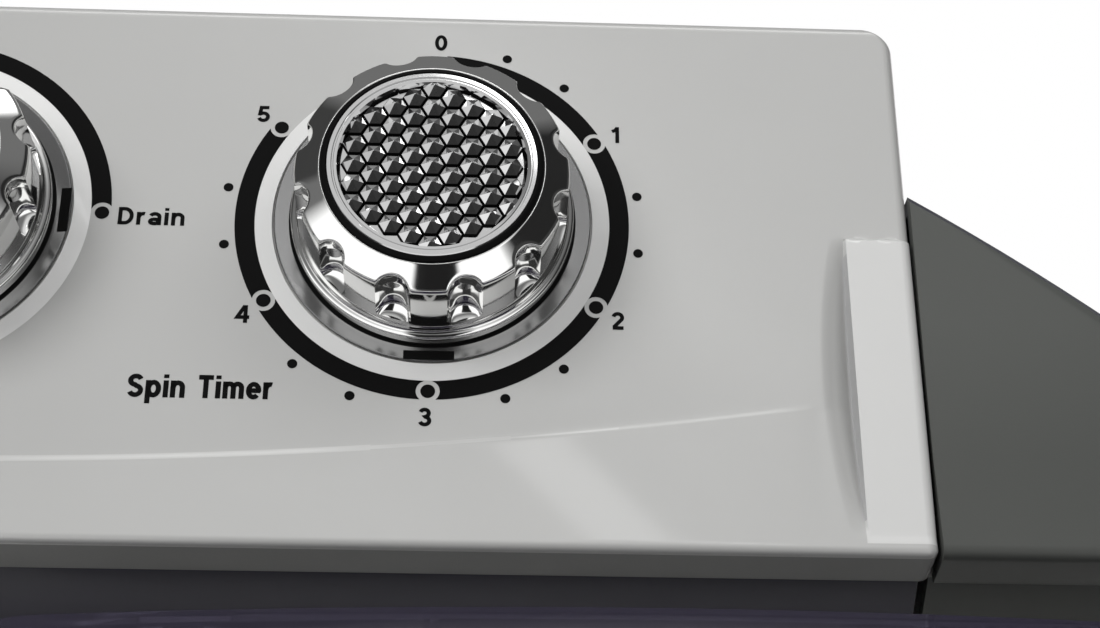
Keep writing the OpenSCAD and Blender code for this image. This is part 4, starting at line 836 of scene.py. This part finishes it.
def dense(profile, step):
    """The profile with points no further apart than step."""
    made = [profile[0]]
    for a, b in zip(profile, profile[1:]):
        count = max(1, math.ceil((Vector(b) - Vector(a)).length / step))
        made += [tuple(Vector(a).lerp(Vector(b), k / count)) for k in range(1, count + 1)]
    return made


def at_dial(dial, points):
    return [on_panel(DIAL_X[dial] + x, y, z) for x, y, z in points]


def knob_grip(dial, chrome):
    """The fluted grip, from its flange to its shoulder."""
    steps = SCALLOPS * SCALLOP_STEPS
    pitch = 2 * math.pi / SCALLOPS
    profile = dense(grip_profile(), GRIP_STEP)
    points = []
    for radius, z in profile:
        for j in range(steps):
            t = 2 * math.pi * j / steps - math.pi / 2
            near = (t + math.pi / 2) % pitch - pitch / 2
            here = radius
            if z > SCALLOP_FOOT - 0.5 and radius > RING_R:
                here = max(RING_R, soft_min(radius, trough(z, near), SCALLOP_JOIN))
            points.append((here * math.cos(t), here * math.sin(t), z))
    faces = grid_faces(len(profile), steps, closed=True)
    return put(dial + "_grip", at_dial(dial, points), faces, chrome, BODY[dial],
               sharp=60)


def ring_piece(name, dial, profile, material):
    """A turned ring that rides on its knob."""
    points, faces = turned(profile, RING_STEPS)
    return put(name, at_dial(dial, points), faces, material, BODY[dial], sharp=40)


def knob_skirt(dial, silver):
    """The shallow silver dish that turns with the knob and carries its index bar."""
    profile = rounded([((FLANGE_R - 1, DISH_FOOT + 0.05), 0), ((FLANGE_R + 0.2, DISH_FOOT), 0),
                       ((SKIRT_R, DISH_RISE), 0.25), ((SKIRT_R, DISH_FOOT - 0.1), 0),
                       ((SKIRT_R - 1, DISH_FOOT - 0.15), 0)], 5)
    return ring_piece(dial + "_skirt", dial, profile, silver)


def knob_gap_shade(dial, black):
    """A black ring in the gap between the grip's flange and the dish: painted shade."""
    profile = [(FLANGE_R - 0.3, DISH_FOOT), (FLANGE_R - 0.3, GROOVE_TOP),
               (FLANGE_R + GROOVE, GROOVE_TOP), (FLANGE_R + GROOVE, DISH_FOOT)]
    return ring_piece(dial + "_gap_shade", dial, profile, black)


def index_bar(dial, ink):
    """The black bar on the skirt that points at the scale."""
    turn = Matrix.Rotation(math.radians(REST_TURN[dial] - 180), 2)
    points = []
    for v in np.linspace(0, 1, BAR_ROWS):
        for u in np.linspace(-BAR_HALF, BAR_HALF, BAR_COLUMNS):
            y = -(BAR_R + BAR_DEPTH * v)
            out = (math.hypot(u, y) - FLANGE_R) / (SKIRT_R - FLANGE_R)
            x, y = turn @ Vector((u, y))
            points.append((x, y, DISH_FOOT + (DISH_RISE - DISH_FOOT) * out + BAR_PROUD))
    return put(dial + "_index", at_dial(dial, points), grid_faces(BAR_ROWS, BAR_COLUMNS), ink,
               BODY[dial])


def dial_boss(dial, silver):
    """The low coned ring on the panel, round the knob's dish, in a lighter silver than the panel:
    painted light.
    """
    profile = [(BOSS_R0, 0.02), (BOSS_R0, BOSS_RISE - 0.1), (BOSS_R0 + 0.1, BOSS_RISE),
               (BOSS_R1 - 0.2, 0.06), (BOSS_R1, 0.02)]
    points, faces = turned(profile, RING_STEPS)
    return put(dial + "_boss", at_dial(dial, points), faces, silver, "machine",
               sharp=50)


def knob_rim(dial, black):
    """The black ring round the lens."""
    profile = rounded([((LENS_R, KNOB_H - 2), 0), ((RING_R, KNOB_H - 2), 0),
                       ((RING_R, KNOB_H - 0.45), 0.4), ((LENS_R, KNOB_H + 0.1), 0.2)], 5)
    return ring_piece(dial + "_rim", dial, profile + [profile[0]], black)


# Lens
STUD_PITCH = 4.4
STUD_FIELD = 17.6
STUD_REACH = 5
# A stud's rings from foot to point: radius as a share of the pitch, and height
STUD_RINGS = ((0.577, -0.5), (0.50, 0.12), (0.03, 1.45))
LENS_FLOOR = KNOB_H - 1.2
LENS_DEEP = LENS_FLOOR - 0.6
LENS_STEPS = 120


def lens(dial, finishes):
    """The lens: a rim, a plain ring, and a honeycomb of six-sided studs whose foot walls are black,
    painted shade between the studs.
    """
    profile = [(LENS_R, KNOB_H - 6), (LENS_R, KNOB_H - 0.25), (LENS_R - 0.25, KNOB_H),
               (LENS_R - 1.0, KNOB_H), (LENS_R - 1.15, KNOB_H - 0.35),
               (LENS_R - 1.4, KNOB_H - 0.35), (LENS_R - 1.55, KNOB_H - 0.1),
               (LENS_R - 2.1, KNOB_H - 0.2), (LENS_R - 2.6, LENS_FLOOR),
               (LENS_R - 2.8, LENS_DEEP), (0.01, LENS_DEEP)]
    points, faces = turned(profile, LENS_STEPS)
    kinds = [0] * len(faces)
    for i in range(-STUD_REACH, STUD_REACH + 1):
        for j in range(-STUD_REACH, STUD_REACH + 1):
            x = i * STUD_PITCH * math.cos(math.pi / 6)
            y = (j + (i % 2) / 2) * STUD_PITCH
            if math.hypot(x, y) > STUD_FIELD:
                continue
            first = len(points)
            for radius, z in STUD_RINGS:
                points += [(x + STUD_PITCH * radius * math.cos(math.pi / 3 * k),
                            y + STUD_PITCH * radius * math.sin(math.pi / 3 * k),
                            LENS_FLOOR - 0.02 + z) for k in range(6)]
            faces += grid_faces(3, 6, closed=True, start=first)
            faces.append(tuple(range(first + 12, first + 18)))
            # Each stud's six foot walls take the black: painted shade
            kinds += [1] * 6 + [0] * 7
    return put(dial + "_lens", at_dial(dial, points), faces, finishes, BODY[dial],
               sharp=25, kinds=kinds)


# Pieces dressed from the part's own solids
DRESS_ANGLE = math.radians(32)
FLAT_ANGLE = math.radians(0.05)
SHADED_TOP_LEAN = -0.45


def dressed(node, material, width, segments, rim):
    """A copy of a node's mesh with small round edges, standing for the node. A darker rim finish,
    painted shade, goes on the faces that look up and not far to the front."""
    source = frame["nodes"][node]
    work = bmesh.new()
    work.from_mesh(source.data)
    bmesh.ops.remove_doubles(work, verts=work.verts, dist=0.001 * MM)
    bmesh.ops.dissolve_limit(work, angle_limit=FLAT_ANGLE, verts=work.verts,
                             edges=work.edges, delimit={"NORMAL"})
    mesh = bpy.data.meshes.new(node + "_dressed")
    work.to_mesh(mesh)
    work.free()
    mesh.materials.clear()
    mesh.materials.append(material)
    made = bpy.data.objects.new(node + "_dressed", mesh)
    bpy.context.scene.collection.objects.link(made)
    mesh.shade_smooth()
    mesh.set_sharp_from_angle(angle=DRESS_ANGLE)
    bevel = made.modifiers.new("edges", "BEVEL")
    bevel.width = width * MM
    bevel.segments = segments
    bevel.limit_method = "ANGLE"
    bevel.angle_limit = DRESS_ANGLE
    bevel.harden_normals = False
    bpy.context.view_layer.update()
    final = bpy.data.meshes.new_from_object(
        made.evaluated_get(bpy.context.evaluated_depsgraph_get()))
    made.modifiers.clear()
    made.data = final
    final.shade_smooth()
    final.set_sharp_from_angle(angle=DRESS_ANGLE)
    if rim:
        final.materials.append(rim)
        for face in final.polygons:
            face.material_index = int(face.normal.y > SHADED_TOP_LEAN and face.normal.z > 0)
    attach(made, source["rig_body"])
    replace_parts(made, node)
    return made


# The finishes: colour, roughness and the rest. Most have the name of one of the record's slots
PAINT = {"metal": 0.15, "grain": 0.1, "grain_size": 0.15}
PLAIN = {**PAINT, "mottle": 0.02, "coat": 0.5}
CLEAN = {**PAINT, "mottle": 0.003, "haze": 0.0, "coat": 0.5, "coat_roughness": 0.04}
FINISHES = {
    "white_shell": ((0.78, 0.78, 0.76), 0.34, {"grain": 0.15, "edge": 0.2}),
    "silver_panel": ((0.50, 0.50, 0.49), 0.30, {**PLAIN, "coat_roughness": 0.12}),
    "apron": ((0.50, 0.50, 0.49), 0.30, {**PLAIN, "coat_roughness": 0.04}),
    # The end strip: a lighter copy of the panel's silver, painted light
    "strip": ((0.66, 0.66, 0.65), 0.28, CLEAN),
    # The coned ring round each dial: a lighter silver than the panel, painted light
    "boss": ((0.78, 0.78, 0.77), 0.28, CLEAN),
    # The crease: a lighter copy of the panel's silver, painted highlight, on top of the rear lamp's
    # real one
    "crease": ((0.57, 0.57, 0.56), 0.30, {**PLAIN, "coat_roughness": 0.12}),
    "scoop": ((0.50, 0.50, 0.50), 0.32, PAINT),
    # The lip: the panel's silver darkened, painted shade
    "lip": ((0.19, 0.19, 0.187), 0.32, PAINT),
    "satin": ((0.28, 0.28, 0.28), 0.18, {"metal": 0.9, "haze": 0.0}),
    # The end caps' faces that look up: darker and bluer than the caps, painted shade
    "cap_top_painted_shade": ((0.040, 0.040, 0.052), 0.38, {"grain": 0.25}),
    "dark_plastic": ((0.062, 0.065, 0.060), 0.38, {"grain": 0.25, "edge": 0.2}),
    "navy": ((0.050, 0.047, 0.066), 0.30, {"grain": 0.2}),
    "smoky_clear": ((0.10, 0.09, 0.14), 0.10, {"clear": 0.75, "coat": 0.3}),
    "tub_plastic": ((0.72, 0.74, 0.76), 0.35, {"grain": 0.1}),
    "blue_plastic": ((0.10, 0.30, 0.62), 0.33, {"grain": 0.1}),
    "steel": ((0.62, 0.62, 0.62), 0.28, {"metal": 1.0, "haze": 0.12}),
    "zinc_screws": ((0.60, 0.60, 0.58), 0.32, {"metal": 1.0, "haze": 0.15}),
    "motor_metal": ((0.42, 0.43, 0.45), 0.42, {"metal": 0.9, "haze": 0.12}),
    "cast_housing": ((0.40, 0.41, 0.42), 0.55, {"metal": 0.7, "grain": 0.5, "grain_size": 0.6}),
    "black_rubber": ((0.03, 0.03, 0.03), 0.72, {"grain": 0.4, "specular": 0.3}),
    "grey_plastic": ((0.30, 0.31, 0.32), 0.42, {"grain": 0.2}),
    "chrome_knob": ((0.86, 0.86, 0.85), 0.06, {"metal": 1.0, "haze": 0.03}),
    "black_ring": ((0.004, 0.004, 0.004), 0.5, {"specular": 0.08}),
    "clear_lens": ((0.68, 0.68, 0.68), 0.05, {"metal": 1.0, "haze": 0.02}),
}
FINISH = {name: surface(name, colour, roughness, **more)
          for name, (colour, roughness, more) in FINISHES.items()}
# Black for the print and the black parts, and for the painted shade in the knob's gap and between
# the lens studs
INK_AND_SHADE = FINISH["black_ring"]

# The dials, and the part's nodes that their pieces stand for
KNOB_NODE = {"wash": "wash_knob", "selector": "selector_knob", "spin": "spin_knob"}
NODE_START = {"wash": "wash_knob", "selector": "selector", "spin": "spin_knob"}

control_panel([FINISH[name] for name in PANEL_FINISHES])
for dial in DIALS:
    dial_print(dial, INK_AND_SHADE)
    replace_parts(knob_grip(dial, FINISH["chrome_knob"]), KNOB_NODE[dial])
    knob_skirt(dial, FINISH["satin"])
    knob_gap_shade(dial, INK_AND_SHADE)
    index_bar(dial, INK_AND_SHADE)
    dial_boss(dial, FINISH["boss"])
    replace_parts(knob_rim(dial, INK_AND_SHADE), NODE_START[dial] + "_ring")
    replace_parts(lens(dial, [FINISH["clear_lens"], INK_AND_SHADE]), NODE_START[dial] + "_lens")

# The printed numerals, and the words: text, place, height and, where it is set, width
for dial, places in NUMERALS.items():
    for text, (x, y) in places.items():
        lettering(f"numeral_{dial}_{text}", text, DIAL_X[dial] + x, y - NUMERAL / 2, NUMERAL, INK_AND_SHADE)
WORDS = {
    "name_spin": ("Spin Timer", DIAL_X["spin"] - 44.0, -40.6, 4.9, 28.0),
    "name_wash": ("Wash Timer", DIAL_X["wash"] - 44.0, -40.6, 4.9, 30.0),
    "name_drain": ("Drain", DIAL_X["spin"] - 56.7, -2.6, 4.0, 13.4),
    "name_normal": ("Normal", -55.0, -2.6, 4.0, None),
    "name_soft": ("Soft", 0, 43.6, 4.0, None),
}
for name, (text, x, y, height, width) in WORDS.items():
    lettering(name, text, x, y, height, INK_AND_SHADE, width)

# Nodes that get small round edges: finish, width of the edges and steps in them
DRESSED = {
    "end_cap_right": ("dark_plastic", 1.6, 5), "end_cap_left": ("dark_plastic", 1.6, 5),
    "console_housing": ("navy", 0.6, 3), "top_deck": ("white_shell", 1.0, 3),
    "cabinet_shell": ("white_shell", 0.6, 2), "rear_cover": ("white_shell", 0.5, 2),
    "wash_lid": ("smoky_clear", 0.5, 2), "spin_lid": ("smoky_clear", 0.5, 2),
    "base_plate": ("grey_plastic", 0.5, 2), "rubber_feet": ("black_rubber", 0.4, 2),
}
for node, (finish, width, segments) in DRESSED.items():
    # The end caps' faces that look up take a darker, bluer finish: painted shade
    rim = FINISH["cap_top_painted_shade"] if node.startswith("end_cap") else None
    piece = dressed(node, FINISH[finish], width, segments, rim)

for entry in frame["record"]["subparts"]:
    node = frame["nodes"].get(entry["node"])
    if node is not None:
        node.data.materials.clear()
        node.data.materials.append(FINISH[entry["material_slot"]])

# Floor: matt round the machine, where it holds the shadow, and white further out
FLOOR = 9.0
MATT_TO, WHITE_FROM = 0.5, 1.2
floor_mesh = bpy.data.meshes.new("floor")
floor_mesh.from_pydata([(-FLOOR, -FLOOR, 0), (FLOOR, -FLOOR, 0), (FLOOR, FLOOR, 0),
                        (-FLOOR, FLOOR, 0)], [], [(0, 1, 2, 3)])
floor = bpy.data.objects.new("floor", floor_mesh)
bpy.context.scene.collection.objects.link(floor)
ground = bpy.data.materials.new("floor")
ground.use_nodes = True
g = Graph(ground.node_tree)
spot = g.node("VectorMath", operation="LENGTH")
g.plug(spot.inputs[0], g.node("NewGeometry").outputs["Position"])
far = g.level(spot.outputs["Value"], 0, 1, MATT_TO, WHITE_FROM)
far = g.ramp(far, (0.0, grey(0)), (1.0, grey(1)))
matt = g.node("BsdfPrincipled", Base_Color=(0.84, 0.84, 0.84, 1), Roughness=0.6)
white = g.node("Emission", Color=(1, 1, 1, 1), Strength=1.0)
rays = g.node("LightPath")
seen = g.math("MAXIMUM", rays.outputs["Is Camera Ray"],
              g.math("MAXIMUM", rays.outputs["Is Glossy Ray"], rays.outputs["Is Transmission Ray"]))
mix = g.node("MixShader")
g.plug(mix.inputs[0], g.math("MULTIPLY", seen, far))
g.plug(mix.inputs[1], matt.outputs[0])
g.plug(mix.inputs[2], white.outputs[0])
g.plug(g.node("OutputMaterial").inputs[0], mix.outputs[0])
floor_mesh.materials.append(ground)
